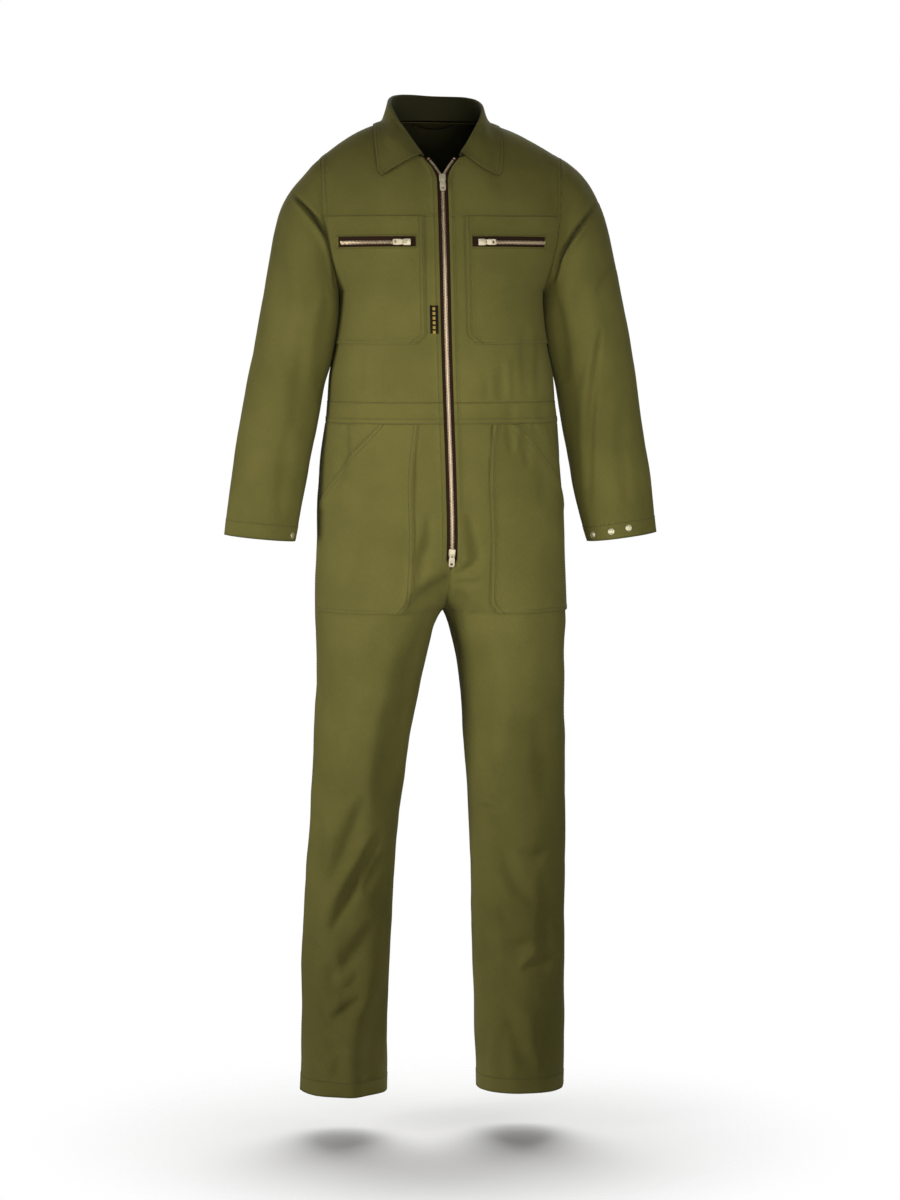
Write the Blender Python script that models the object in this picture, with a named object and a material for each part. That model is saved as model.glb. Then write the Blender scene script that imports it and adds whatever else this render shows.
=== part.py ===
# Boiler suit, filled out and hollow, in metres, +Z up, wearer facing -Y.
# The origin lies midway between the shoulders, level with the neck points.
# "left" is -X and "right" is +X, as seen from the front.

import functools
import math

import bmesh
import bpy
import numpy as np
from mathutils import Matrix, Vector
from mathutils.bvhtree import BVHTree

# ---- driving dimensions ----------------------------------------------------

CLOTH = 0.0015            # wall of one layer of drill
PATCH = 0.0012            # wall of a patch pocket
SEAM = 0.0003             # gap between two pieces at a seam
YOKE_Z = -0.146
WAIST_TOP_Z = -0.435
WAIST_LOW_Z = -0.470
FORK_Z = -0.768
HEM_Z = -1.546
SHOULDER_TIP = (0.190, -0.051)     # x and z of the top of the armhole
SHOULDER_RISE = {"left": 0.003, "right": -0.0005}      # bow of the shoulder seam
UNDERARM = (0.162, -0.262)         # x and z of its lowest point
ARMHOLE_DEPTH = 0.072              # half of its reach from front to back
ARMHOLE_BOW = 0.010                # how far its middle bows outward
ARMHOLE_ROUND = 0.85               # below 1 makes the hole fuller at its top and bottom
ARMHOLE_ANGLES = (0, 24, 46, 66, 84.3, 100, 117, 136, 158, 180)
YOKE_STEP = 4                      # the armhole angle that lies on the yoke seam
NECK_SHIFT = -0.008                # the neck sits a little to the left
NECK_SIDE = (0.078, 0.012)         # half-width and height of the neck points
NECK_BACK = (0.070, 0.008)         # depth and height at the centre back
NECK_FRONT = (0.029, -0.088, -0.054)
NECK_SWEEP = {"x": 1.3, "z": 1.6}  # how the front neckline curves in and down
PROBE_Z = 0.004                    # step up and down when a normal is measured
PROBE_SHARE = 0.01                 # the same along a section, as a share of it
ZIP_HALF = 0.0085                  # half of the slot that the zip shows in
ZIP_TOP_Z = -0.054
ZIP_OPEN_Z = -0.083                # where the two chains part
ZIP_FLARE = {"below": 0.010, "power": 1.3, "chain_power": 1.15}
ZIP_LOW_Z = -0.690
SLOT_END_Z = -0.705
TAPE = 0.0008
TAPE_SINK = 0.0004                 # the tape lies this far below the cloth's face
CHAIN_HALF = 0.0022
CHAIN_HIGH = 0.0017
CHAIN_TOP_Z = -0.085
CHAIN_LOW_Z = -0.672
OPEN_TEETH = {"offset": 0.0018, "half": 0.0014, "z": (-0.0790, -0.0725, -0.062, -0.0585)}
STOP = {"z": -0.0567, "ahead": 0.004, "half_along": 1.0, "half_across": 1.7, "high": 2.0}
SLIDER_Z = {"top": -0.0895, "bottom": -0.6735}
CHEST_POCKET = {"edge": 0.032, "low": -0.346, "corner_x": 0.017, "corner_z": 0.015,
                "outer": 0.955, "first": 0.014, "columns": 6}
CHEST_ZIP = {"inner": 0.044, "outer": 0.160, "z": -0.187, "half": 0.008, "tape": 0.0006,
             "columns": 9, "slider_at": 0.15, "slider_rise": 0.0001}
THIGH_POCKET = {"low": FORK_Z, "corner_x": 0.014, "corner_z": 0.015,
                "slant_x": 0.110, "slant_low_z": -0.612, "outer": 0.93, "relax": 0.15}
TAB = {"x": (0.011, 0.0255), "z": (-0.3285, -0.2845), "wall": 0.0008, "gap": 0.00045,
       "rows": 4}
LOOP = {"half": 0.033, "below": 0.004, "drop": 0.0085, "tape": 0.005, "lean": 0.0003,
        "rise": 0.0012, "wall": 0.0010, "steps": 8}
SNAP = {"radius": 0.0053, "high": 0.0018, "sides": 20,
        "levels": ((1.0, 0.0), (1.0, 0.5), (0.82, 0.85), (0.4, 1.0))}
COLLAR_WALL = 0.0014

# ---- section tables, one row for each height -------------------------------

TRUNK_COLUMNS = ("z", "half_width", "front", "back", "power")
TRUNK_ROWS = (
    (-0.050, 0.190, 0.089, 0.086, 2.4),
    (-0.100, 0.200, 0.109, 0.106, 2.4),
    (-0.146, 0.190, 0.121, 0.118, 2.4),
    (-0.200, 0.175, 0.130, 0.124, 2.4),
    (-0.262, 0.162, 0.133, 0.122, 2.4),
    (-0.302, 0.1612, 0.132, 0.118, 2.4),
    (-0.347, 0.1672, 0.130, 0.113, 2.4),
    (-0.395, 0.1780, 0.128, 0.108, 2.4),
    (-0.434, 0.1810, 0.127, 0.106, 2.4),
    (-0.470, 0.1842, 0.127, 0.108, 2.4),
)

# outer and inner are distances from the middle plane. Above the fork, inner
# is less than 0 and the section is cut at the middle plane.
LEG_COLUMNS = ("z", "outer", "inner", "centre_y", "front", "back", "power")
LEG_ROWS = {
    "left": (
        (-0.470, 0.1842, -0.1842, 0.000, 0.127, 0.108, 2.40),
        (-0.530, 0.193, -0.190, 0.000, 0.129, 0.121, 2.40),
        (-0.600, 0.1985, -0.170, 0.000, 0.130, 0.134, 2.40),
        (-0.660, 0.2005, -0.120, 0.000, 0.129, 0.138, 2.40),
        (-0.710, 0.201, -0.068, -0.001, 0.125, 0.135, 2.35),
        (-0.745, 0.201, -0.026, -0.002, 0.120, 0.127, 2.30),
        (-0.768, 0.201, 0.000, -0.003, 0.115, 0.120, 2.25),
        (-0.787, 0.201, 0.010, -0.004, 0.112, 0.115, 2.20),
        (-0.816, 0.200, 0.018, -0.004, 0.109, 0.110, 2.20),
        (-0.880, 0.200, 0.033, -0.004, 0.102, 0.101, 2.20),
        (-0.977, 0.203, 0.052, -0.002, 0.091, 0.091, 2.20),
        (-1.106, 0.211, 0.069, 0.003, 0.080, 0.080, 2.20),
        (-1.236, 0.219, 0.079, 0.009, 0.076, 0.076, 2.20),
        (-1.366, 0.224, 0.083, 0.013, 0.0745, 0.0745, 2.20),
        (-1.465, 0.226, 0.085, 0.015, 0.074, 0.074, 2.20),
        (-1.546, 0.227, 0.086, 0.016, 0.074, 0.074, 2.20),
    ),
    "right": (
        (-0.470, 0.1842, -0.1842, 0.000, 0.127, 0.108, 2.40),
        (-0.530, 0.1885, -0.187, 0.000, 0.129, 0.121, 2.40),
        (-0.600, 0.1930, -0.167, 0.000, 0.130, 0.134, 2.40),
        (-0.660, 0.1955, -0.119, 0.000, 0.129, 0.138, 2.40),
        (-0.710, 0.1970, -0.067, -0.001, 0.125, 0.135, 2.35),
        (-0.745, 0.1980, -0.026, -0.002, 0.120, 0.127, 2.30),
        (-0.768, 0.1985, 0.000, -0.003, 0.115, 0.120, 2.25),
        (-0.787, 0.199, 0.009, -0.004, 0.112, 0.115, 2.20),
        (-0.816, 0.197, 0.017, -0.004, 0.109, 0.110, 2.20),
        (-0.880, 0.197, 0.028, -0.004, 0.102, 0.101, 2.20),
        (-0.977, 0.198, 0.037, -0.002, 0.091, 0.091, 2.20),
        (-1.106, 0.200, 0.046, 0.003, 0.081, 0.081, 2.20),
        (-1.236, 0.200, 0.050, 0.009, 0.077, 0.077, 2.20),
        (-1.366, 0.200, 0.054, 0.013, 0.075, 0.075, 2.20),
        (-1.465, 0.200, 0.056, 0.015, 0.074, 0.074, 2.20),
        (-1.546, 0.200, 0.059, 0.016, 0.074, 0.074, 2.20),
    ),
}

# Where the centre front line runs, to the side of the middle plane.
LEAN_COLUMNS = ("z", "lean")
LEAN_ROWS = (
    (-0.030, -0.0090),
    (-0.200, -0.0078),
    (-0.320, -0.0053),
    (-0.430, -0.0016),
    (-0.557, 0.0026),
    (-0.666, 0.0044),
    (-0.768, 0.0006),
    (-0.850, 0.0000),
)

# Each ring of a sleeve: its outer and inner point, its middle and its depth.
SLEEVE_COLUMNS = ("outer_x", "outer_z", "inner_x", "inner_z", "centre_y", "depth")
SLEEVE_ROWS = {
    "left": (
        (0.190, -0.051, 0.1620, -0.262, 0.000, 0.072),
        (0.210, -0.070, 0.1645, -0.267, 0.000, 0.077),
        (0.235, -0.099, 0.1645, -0.276, 0.000, 0.081),
        (0.253, -0.130, 0.1645, -0.288, 0.000, 0.082),
        (0.264, -0.168, 0.1645, -0.303, 0.000, 0.080),
        (0.272, -0.216, 0.1660, -0.322, 0.002, 0.076),
        (0.282, -0.276, 0.1705, -0.348, 0.003, 0.071),
        (0.293, -0.332, 0.1775, -0.379, 0.004, 0.067),
        (0.304, -0.387, 0.1860, -0.411, 0.004, 0.064),
        (0.314, -0.442, 0.1940, -0.455, 0.000, 0.061),
        (0.325, -0.497, 0.2050, -0.510, -0.008, 0.057),
        (0.335, -0.560, 0.2180, -0.575, -0.022, 0.051),
        (0.347, -0.645, 0.2360, -0.656, -0.042, 0.044),
    ),
    "right": (
        (0.190, -0.051, 0.1620, -0.262, 0.000, 0.072),
        (0.214, -0.070, 0.1645, -0.267, 0.000, 0.077),
        (0.238, -0.098, 0.1645, -0.276, 0.000, 0.081),
        (0.254, -0.130, 0.1645, -0.288, 0.000, 0.082),
        (0.266, -0.168, 0.1645, -0.303, 0.000, 0.080),
        (0.278, -0.216, 0.1660, -0.322, 0.002, 0.076),
        (0.291, -0.276, 0.1700, -0.348, 0.003, 0.072),
        (0.303, -0.334, 0.1770, -0.378, 0.004, 0.068),
        (0.313, -0.390, 0.1850, -0.411, 0.004, 0.065),
        (0.319, -0.447, 0.1920, -0.457, 0.000, 0.062),
        (0.326, -0.503, 0.2010, -0.512, -0.008, 0.058),
        (0.335, -0.564, 0.2110, -0.577, -0.022, 0.052),
        (0.341, -0.644, 0.2310, -0.659, -0.042, 0.044),
    ),
}
SLEEVE_POWER = 2.1
SLEEVE_BLEND_ROWS = 4              # rings over which the armhole's shape fades out
SLEEVE_BLEND_POWER = 1.5

# The largest folds, each a soft trough along a line seen from the front: the x and z
# of both ends, the half-width of the trough and its depth.
FOLD_END_POWER = 0.7               # how abruptly a fold runs out
FOLD_TURN = 1.6                    # how soon a fold shows on a wall that turns to the front
FOLD_ROWS = {
    "sleeve_left": (
        (-0.240, -0.110, -0.172, -0.262, 0.016, 0.0080),
        (-0.262, -0.260, -0.215, -0.430, 0.020, 0.0035),
    ),
    "sleeve_right": (
        (0.242, -0.120, 0.172, -0.262, 0.016, 0.0080),
        (0.262, -0.230, 0.245, -0.440, 0.020, 0.0040),
    ),
    "leg_left": (
        (-0.125, -1.130, -0.195, -1.270, 0.022, 0.0045),
        (-0.120, -1.290, -0.180, -1.400, 0.022, 0.0035),
    ),
    "leg_right": (
        (0.100, -1.190, 0.165, -1.290, 0.024, 0.0035),
        (0.085, -1.380, 0.150, -1.490, 0.024, 0.0030),
    ),
}

# The collar: its roll line and its outer edge, by the way round the neck, with
# 0 at the centre back, 1 at the neck point and 2 at the front edge.
COLLAR_COLUMNS = ("way", "roll_x", "roll_y", "roll_z", "edge_x", "edge_y", "edge_z")
COLLAR_ROWS = (
    (0.00, 0.000, 0.073, 0.045, 0.000, 0.094, -0.004),
    (0.50, 0.053, 0.056, 0.046, 0.060, 0.076, -0.004),
    (1.00, 0.0710, 0.004, 0.032, 0.097, 0.010, -0.004),
    (1.33, 0.066, -0.030, 0.012, 0.101, -0.030, -0.022),
    (1.66, 0.050, -0.062, -0.014, 0.101, -0.070, -0.058),
    (2.00, 0.0275, -0.091, -0.046, 0.0955, -0.100, -0.088),
)
COLLAR_ROLL = 0.0032
COLLAR_HUG = {"depth": 0.014, "spread": 0.4, "bulge": 0.002}    # drop of the fall at the sides
COLLAR_TILT = {"rise": 0.003, "until": 1.4}                     # higher on the left
COLLAR_FALL = (0.24, 0.60)         # where the fall bends, from its roll to its edge
COLLAR_CENTRE_Z = -0.05
COLLAR_FOOT = 0.0020               # the stand's lower edge above the neckline
COLLAR_LIFT = 0.0054               # its outer face above the cloth that it lies on
COLLAR_CLEAR = 0.0100              # the same between its edge and its roll
COLLAR_BACK_WAYS = (0.0, 1 / 3, 2 / 3, 1.0)
COLLAR_FRONT_WAYS = (1.0, 1.25, 1.5, 1.75, 2.0)

# The x, y and z that each snap of a cuff lies nearest to.
SNAP_ROWS = {
    "left": ((-0.243, -0.062, -0.646), (-0.243, -0.022, -0.646), (-0.262, -0.004, -0.642)),
    "right": ((0.238, -0.060, -0.648), (0.263, -0.080, -0.642), (0.290, -0.084, -0.636)),
}

# The inner edge of a thigh pocket, from the centre front line.
THIGH_EDGE_COLUMNS = ("z", "left", "right")
THIGH_EDGE_ROWS = (
    (WAIST_LOW_Z, 0.048, 0.067),
    (-0.540, 0.058, 0.061),
    (-0.650, 0.060, 0.061),
    (FORK_Z, 0.061, 0.064),
)

# ---- slider and pull, millimetres in their own frame ------------------------
# Along is the way the pull points, up is away from the cloth, and the hinge
# axis lies across at 0, 0.

SLIDER = {"behind": -8.5, "ahead": 3.5, "half": 5.0, "top": -0.9, "foot": -4.4,
          "channel_half": 2.9, "channel_top": -2.2, "shoulder": 1.5, "rear": 0.9,
          "narrow": 0.88}
BAIL = {"inside": 1.2, "wall": 0.8, "half": 0.8, "corner": 1.5, "root": 0.5}
PULL = {"length": 19.5, "half": 4.6, "neck": 3.3, "neck_end": 3.7, "tip": 3.8, "bar": 0.5,
        "hole_end": 4.0, "widest": 8.0, "hole_half": 2.0, "slot": (13.5, 16.6), "wall": 1.0}
PULL_HOLES = (1, 4)                # the spans along the pull that are open in the middle
AXIS_HIGH = 4.7                    # hinge axis above the tape's face
ZIP_LIFT = 0.0009                  # a chest zip's tape above the pocket's face
MM = 0.001

SIDES = {"left": -1.0, "right": 1.0}
FRONT = -1.0
BACK = 1.0

OLIVE = (0.135, 0.120, 0.035)
DARK_OLIVE = (0.115, 0.102, 0.030)
TAPE_BROWN = (0.030, 0.016, 0.010)
BRASS = (0.62, 0.42, 0.22)
PALE_BRASS = (0.75, 0.68, 0.48)
BLACK = (0.012, 0.012, 0.012)


# ---- tables ------------------------------------------------------------------

def read_table(columns, rows):
    values = np.array(rows, dtype=float)
    return {name: values[:, k] for k, name in enumerate(columns)}


def smooth(table, key, column, at):
    # Cubic curve through one column, with the slopes of its neighbours.
    places = table[key]
    values = table[column]
    if places[0] > places[-1]:
        places, values = places[::-1], values[::-1]
    if at <= places[0]:
        return float(values[0])
    if at >= places[-1]:
        return float(values[-1])
    slopes = np.gradient(values, places)
    k = int(np.searchsorted(places, at)) - 1
    k = max(0, min(k, len(places) - 2))
    span = places[k + 1] - places[k]
    t = (at - places[k]) / span
    start = (2 * t ** 3 - 3 * t ** 2 + 1) * values[k]
    leave = (t ** 3 - 2 * t ** 2 + t) * span * slopes[k]
    end = (-2 * t ** 3 + 3 * t ** 2) * values[k + 1]
    arrive = (t ** 3 - t ** 2) * span * slopes[k + 1]
    return float(start + leave + end + arrive)


TRUNK = read_table(TRUNK_COLUMNS, TRUNK_ROWS)
LEGS = {side: read_table(LEG_COLUMNS, rows) for side, rows in LEG_ROWS.items()}
LEAN = read_table(LEAN_COLUMNS, LEAN_ROWS)
SLEEVES = {side: read_table(SLEEVE_COLUMNS, rows) for side, rows in SLEEVE_ROWS.items()}
COLLAR = read_table(COLLAR_COLUMNS, COLLAR_ROWS)
for sleeve in SLEEVES.values():
    sleeve["step"] = np.arange(len(sleeve["depth"]), dtype=float)


def unit(vector):
    length = np.linalg.norm(vector)
    return vector / length if length > 1e-12 else vector


def power(value, exponent):
    return math.copysign(abs(value) ** exponent, value)


# ---- armhole -----------------------------------------------------------------

ARMHOLE_MID_Z = (SHOULDER_TIP[1] + UNDERARM[1]) / 2
ARMHOLE_HALF_Z = (SHOULDER_TIP[1] - UNDERARM[1]) / 2


def armhole_reach(angle):
    # Distance from the middle plane, depth and height of a point of the armhole.
    # 0 is its top and 180 degrees its lowest point.
    turn = math.radians(angle)
    high = math.cos(turn)
    wide = max(0.0, math.sin(turn))
    share = (high + 1) / 2
    reach = UNDERARM[0] + (SHOULDER_TIP[0] - UNDERARM[0]) * share + ARMHOLE_BOW * wide ** 2
    return reach, ARMHOLE_DEPTH * wide ** ARMHOLE_ROUND, ARMHOLE_MID_Z + ARMHOLE_HALF_Z * high


def armhole(side, half, angle):
    reach, deep, z = armhole_reach(angle)
    x = SIDES[side] * reach
    if half < 0:
        x += smooth(LEAN, "z", "lean", z) * deep / smooth(TRUNK, "z", "front", z)
    return np.array((x, half * deep, z))


def armhole_angle(z):
    return math.degrees(math.acos(max(-1.0, min(1.0, (z - ARMHOLE_MID_Z) / ARMHOLE_HALF_Z))))


# ---- trunk and legs ------------------------------------------------------------

ARC_SAMPLES = 90


def bodice_arc(side, half, z):
    # Half a section, from the middle plane to the side seam or the armhole.
    depth = smooth(TRUNK, "z", "front" if half < 0 else "back", z)
    n = smooth(TRUNK, "z", "power", z)
    wide = smooth(TRUNK, "z", "half_width", z)
    last = math.pi / 2
    if z > UNDERARM[1]:
        reach, deep, _ = armhole_reach(armhole_angle(z))
        fall = (1 - (deep / depth) ** n) ** (1 / n)
        wide = reach / fall
        last = math.asin(min(1.0, fall ** (n / 2)))
    turns = np.linspace(0, last, ARC_SAMPLES)
    x = wide * np.sin(turns) ** (2 / n)
    y = half * depth * np.abs(np.cos(turns)) ** (2 / n)
    return x, y, 0.0, depth


def leg_arc(side, half, z):
    # Half a section, from the middle plane or the inseam to the outer seam.
    table = LEGS[side]
    outer, inner, centre_y, depth, n = (
        smooth(table, "z", column, z)
        for column in ("outer", "inner", "centre_y", "front" if half < 0 else "back", "power"))
    centre = (outer + inner) / 2
    wide = (outer - inner) / 2
    first = 0.0
    if inner < 0:
        first = math.acos(min(1.0, max(0.0, centre / wide)) ** (n / 2))
    turns = np.linspace(first, math.pi, ARC_SAMPLES)
    across = np.cos(turns)
    x = centre - wide * np.sign(across) * np.abs(across) ** (2 / n)
    y = centre_y + half * depth * np.abs(np.sin(turns)) ** (2 / n)
    return x, y, centre_y, depth


@functools.lru_cache(maxsize=None)
def arc(side, half, z):
    # Points of the half section with their share of its length.
    build = bodice_arc if z > WAIST_LOW_Z else leg_arc
    x, y, centre_y, depth = build(side, half, z)
    steps = np.hypot(np.diff(x), np.diff(y))
    share = np.concatenate(([0.0], np.cumsum(steps)))
    share /= share[-1]
    return x, y, centre_y, depth, share


def body_point(side, half, share, z):
    x, y, centre_y, depth, shares = arc(side, half, round(z, 6))
    at_x = float(np.interp(share, shares, x))
    at_y = float(np.interp(share, shares, y))
    lean = 0.0
    if half < 0:
        lean = smooth(LEAN, "z", "lean", z) * max(0.0, (centre_y - at_y) / depth)
    return np.array((SIDES[side] * at_x + lean, at_y, z))


def share_at(side, half, x, z):
    xs, _, _, _, shares = arc(side, half, round(z, 6))
    return float(np.interp(x, xs, shares))


def body_normal(side, half, share, z):
    low = max(0.0, share - PROBE_SHARE)
    high = min(1.0, share + PROBE_SHARE)
    along = body_point(side, half, high, z) - body_point(side, half, low, z)
    top = z + PROBE_Z
    bottom = z - PROBE_Z
    if z > WAIST_LOW_Z and bottom < WAIST_LOW_Z:
        bottom = z
    if z <= WAIST_LOW_Z < top:
        top = z
    rise = body_point(side, half, share, top) - body_point(side, half, share, bottom)
    normal = unit(np.cross(along, rise))
    outward = np.array((SIDES[side], half, 0.0))
    if share < 0.3 and z < FORK_Z:
        outward = np.array((-SIDES[side] * 0.5, half, 0.0))
    if np.dot(normal, outward) < 0:
        normal = -normal
    if share <= 0.0 and z > FORK_Z:
        normal[0] = 0.0
    if share <= 0.0 and z <= FORK_Z:
        normal = np.array((-SIDES[side], 0.0, 0.0))
    if share >= 1.0 and z <= UNDERARM[1]:
        normal[1] = 0.0
        normal[0] = SIDES[side] * abs(normal[0])
    return unit(normal)


def fold_offset(folds, point, facing):
    # Depth of the troughs at a point whose surface faces the given way.
    offset = 0.0
    for x0, z0, x1, z1, width, depth in folds:
        run = np.array((x1 - x0, z1 - z0))
        length = np.linalg.norm(run)
        place = np.array((point[0] - x0, point[2] - z0))
        along = float(np.dot(place, run)) / length ** 2
        if not 0.0 < along < 1.0:
            continue
        across = abs(run[0] * place[1] - run[1] * place[0]) / length
        fade = math.sin(math.pi * along) ** FOLD_END_POWER
        show = max(0.0, min(1.0, -facing[1] * FOLD_TURN))
        offset -= depth * fade * show * math.exp(-(across / width) ** 2)
    return offset


def body_grid(side, half, heights, shares_at, folds=()):
    # Points and normals of a panel, a row for each height.
    points = []
    normals = []
    for z in heights:
        shares = shares_at(z)
        row = [body_point(side, half, share, z) for share in shares]
        facing = [body_normal(side, half, share, z) for share in shares]
        row = [p + n * fold_offset(folds, p, n) for p, n in zip(row, facing)]
        points.append(row)
        normals.append(facing)
    return np.array(points), np.array(normals)


# ---- neckline, shoulder and the patches above the yoke seam ----------------------

def neckline(side, way):
    # 0 is the centre back, 1 the neck point and 2 the front edge.
    if way <= 1:
        turn = math.radians(90 * way)
        x = NECK_SIDE[0] * math.sin(turn)
        y = NECK_BACK[0] * math.cos(turn)
        z = NECK_BACK[1] + (NECK_SIDE[1] - NECK_BACK[1]) * math.sin(turn) ** 2
    else:
        turn = math.radians(90 * (way - 1))
        inward = max(0.0, math.cos(turn)) ** NECK_SWEEP["x"]
        x = NECK_FRONT[0] + (NECK_SIDE[0] - NECK_FRONT[0]) * inward
        y = NECK_FRONT[1] * math.sin(turn)
        down = math.sin(turn) ** NECK_SWEEP["z"]
        z = NECK_SIDE[1] + (NECK_FRONT[2] - NECK_SIDE[1]) * down
    return np.array((SIDES[side] * x + NECK_SHIFT, y, z))


def shoulder(side, share):
    # The shoulder seam, from the neck point to the top of the armhole.
    start = neckline(side, 1.0)
    end = armhole(side, FRONT, 0)
    point = start + (end - start) * share
    point[2] += SHOULDER_RISE[side] * math.sin(math.pi * share)
    return point


def shoulder_normal(side):
    run = shoulder(side, 1.0) - shoulder(side, 0.0)
    return unit(np.array((-run[2] * SIDES[side], 0.0, run[0] * SIDES[side])))


def slot_edge(z):
    # Half of the opening between the two front edges.
    flare = ZIP_OPEN_Z - ZIP_FLARE["below"]
    if z > flare:
        rise = (z - flare) / (ZIP_TOP_Z - flare)
        return ZIP_HALF + (NECK_FRONT[0] - ZIP_HALF) * rise ** ZIP_FLARE["power"]
    if z > ZIP_LOW_Z:
        return ZIP_HALF
    return ZIP_HALF * max(0.0, (z - SLOT_END_Z) / (ZIP_LOW_Z - SLOT_END_Z))


def front_line(side, x, z):
    # A point of the front surface at a distance from the centre front line.
    return body_point(side, FRONT, share_at(side, FRONT, x, z), z)


def front_line_normal(side, x, z):
    return body_normal(side, FRONT, max(0.001, share_at(side, FRONT, x, z)), z)


def quarter_turn(t):
    # Shares in x, y and z on a quarter ellipse that starts upright.
    rise = math.sin(math.pi / 2 * t)
    return np.array((rise, 1 - math.cos(math.pi / 2 * t), rise))


def patch(bottom, top, inner, outer):
    # A rounded surface blended between its four edges, each an array of points.
    rows = len(inner)
    columns = len(bottom)
    points = np.zeros((rows, columns, 3))
    for i in range(rows):
        t = quarter_turn(i / (rows - 1))
        for k in range(columns):
            c = k / (columns - 1)
            corners = ((1 - t) * ((1 - c) * bottom[0] + c * bottom[-1])
                       + t * ((1 - c) * top[0] + c * top[-1]))
            points[i, k] = ((1 - t) * bottom[k] + t * top[k]
                            + (1 - c) * inner[i] + c * outer[i] - corners)
    return points


def grid_normals(points, outward, wrap=False):
    # Normals of a grid of points, turned to face the given way on average.
    rows, columns, _ = points.shape
    normals = np.zeros_like(points)
    for i in range(rows):
        for k in range(columns):
            up = points[min(i + 1, rows - 1), k] - points[max(i - 1, 0), k]
            if wrap:
                along = points[i, (k + 1) % columns] - points[i, (k - 1) % columns]
            else:
                along = points[i, min(k + 1, columns - 1)] - points[i, max(k - 1, 0)]
            normals[i, k] = unit(np.cross(along, up))
    if np.sum(normals * outward) < 0:
        normals = -normals
    return normals


# ---- meshes -------------------------------------------------------------------

def clear_objects():
    for thing in list(bpy.data.objects):
        bpy.data.objects.remove(thing, do_unlink=True)


def finish(name, colour, roughness, metallic):
    material = bpy.data.materials.new(name)
    material.use_nodes = True
    shader = material.node_tree.nodes["Principled BSDF"]
    shader.inputs["Base Color"].default_value = (*colour, 1.0)
    shader.inputs["Roughness"].default_value = roughness
    shader.inputs["Metallic"].default_value = metallic
    material.diffuse_color = (*colour, 1.0)
    return material


def make_object(name, vertices, faces, colour, roughness=0.85, metallic=0.0):
    mesh = bpy.data.meshes.new(name)
    mesh.from_pydata([tuple(map(float, v)) for v in vertices], [], faces)
    mesh.update()
    thing = bpy.data.objects.new(name, mesh)
    bpy.context.scene.collection.objects.link(thing)
    thing.data.materials.append(finish(name, colour, roughness, metallic))
    return thing


def shade(thing, angle=40):
    thing.data.shade_smooth()
    thing.data.set_sharp_from_angle(angle=math.radians(angle))


def trimmed(points, trims, wrap):
    # Draws the edges of a grid in by half a seam gap, so neighbours stay apart.
    moved = points.copy()
    low, high, first, last = trims
    rows = len(points)
    for edge, inside, amount in ((0, 1, low), (rows - 1, rows - 2, high)):
        for k in range(points.shape[1]):
            moved[edge, k] += unit(points[inside, k] - points[edge, k]) * SEAM / 2 * amount
    if wrap:
        return moved
    columns = points.shape[1]
    for edge, inside, amount in ((0, 1, first), (columns - 1, columns - 2, last)):
        for i in range(rows):
            moved[i, edge] += unit(points[i, inside] - points[i, edge]) * SEAM / 2 * amount
    return moved


def signed_volume(vertices, faces):
    corners = np.array([[vertices[i] for i in face] for face in faces])
    return float(np.sum(np.cross(corners[:, 0], corners[:, 1]) * corners[:, 2]))


def sheet_faces(rows, columns, start, wrap):
    faces = []
    last = columns if wrap else columns - 1
    for i in range(rows - 1):
        for k in range(last):
            a = start + i * columns + k
            b = start + i * columns + (k + 1) % columns
            c = b + columns
            d = a + columns
            faces.append((a, b, c))
            faces.append((a, c, d))
    return faces


def wall(name, points, normals, thickness, colour, lift=0.0, wrap=False,
         trims=(1, 1, 1, 1), roughness=0.85):
    # A closed wall whose outer face is the grid, moved out by lift.
    rows, columns, _ = points.shape
    face = points + normals * lift
    outer = trimmed(face, trims, wrap)
    inner = trimmed(face - normals * thickness, trims, wrap)
    vertices = np.concatenate((outer.reshape(-1, 3), inner.reshape(-1, 3)))
    count = rows * columns
    faces = sheet_faces(rows, columns, 0, wrap)
    faces += [(c, b, a) for a, b, c in sheet_faces(rows, columns, count, wrap)]
    last = columns if wrap else columns - 1
    rims = []
    for k in range(last):
        rims.append((k, (k + 1) % columns))
        rims.append(((rows - 1) * columns + (k + 1) % columns, (rows - 1) * columns + k))
    if not wrap:
        for i in range(rows - 1):
            rims.append(((i + 1) * columns, i * columns))
            rims.append((i * columns + columns - 1, (i + 1) * columns + columns - 1))
    for a, b in rims:
        faces.append((a, a + count, b + count))
        faces.append((a, b + count, b))
    if signed_volume(vertices, faces) < 0:
        faces = [(c, b, a) for a, b, c in faces]
    thing = make_object(name, vertices, faces, colour, roughness)
    shade(thing)
    return thing


def outer_tree(grids):
    # A search tree of the outer faces, each turned to face outward.
    vertices = []
    faces = []
    for points, normals in grids:
        rows, columns, _ = points.shape
        start = len(vertices)
        vertices += [Vector(p) for p in points.reshape(-1, 3)]
        for a, b, c in sheet_faces(rows, columns, start, False):
            face_normal = (vertices[b] - vertices[a]).cross(vertices[c] - vertices[a])
            guide = Vector(normals.reshape(-1, 3)[a - start])
            faces.append((a, b, c) if face_normal.dot(guide) > 0 else (c, b, a))
    return BVHTree.FromPolygons(vertices, faces)


def laid(tree, point, clearance, only_if_lower=False):
    # The point moved to stand clear of the surface beneath it.
    place, normal, _, _ = tree.find_nearest(Vector(point))
    height = (Vector(point) - place).dot(normal)
    if only_if_lower and height >= clearance:
        return np.array(point), np.array(normal)
    return np.array(place + normal * clearance), np.array(normal)


# ---- cloth panels ---------------------------------------------------------------

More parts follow.
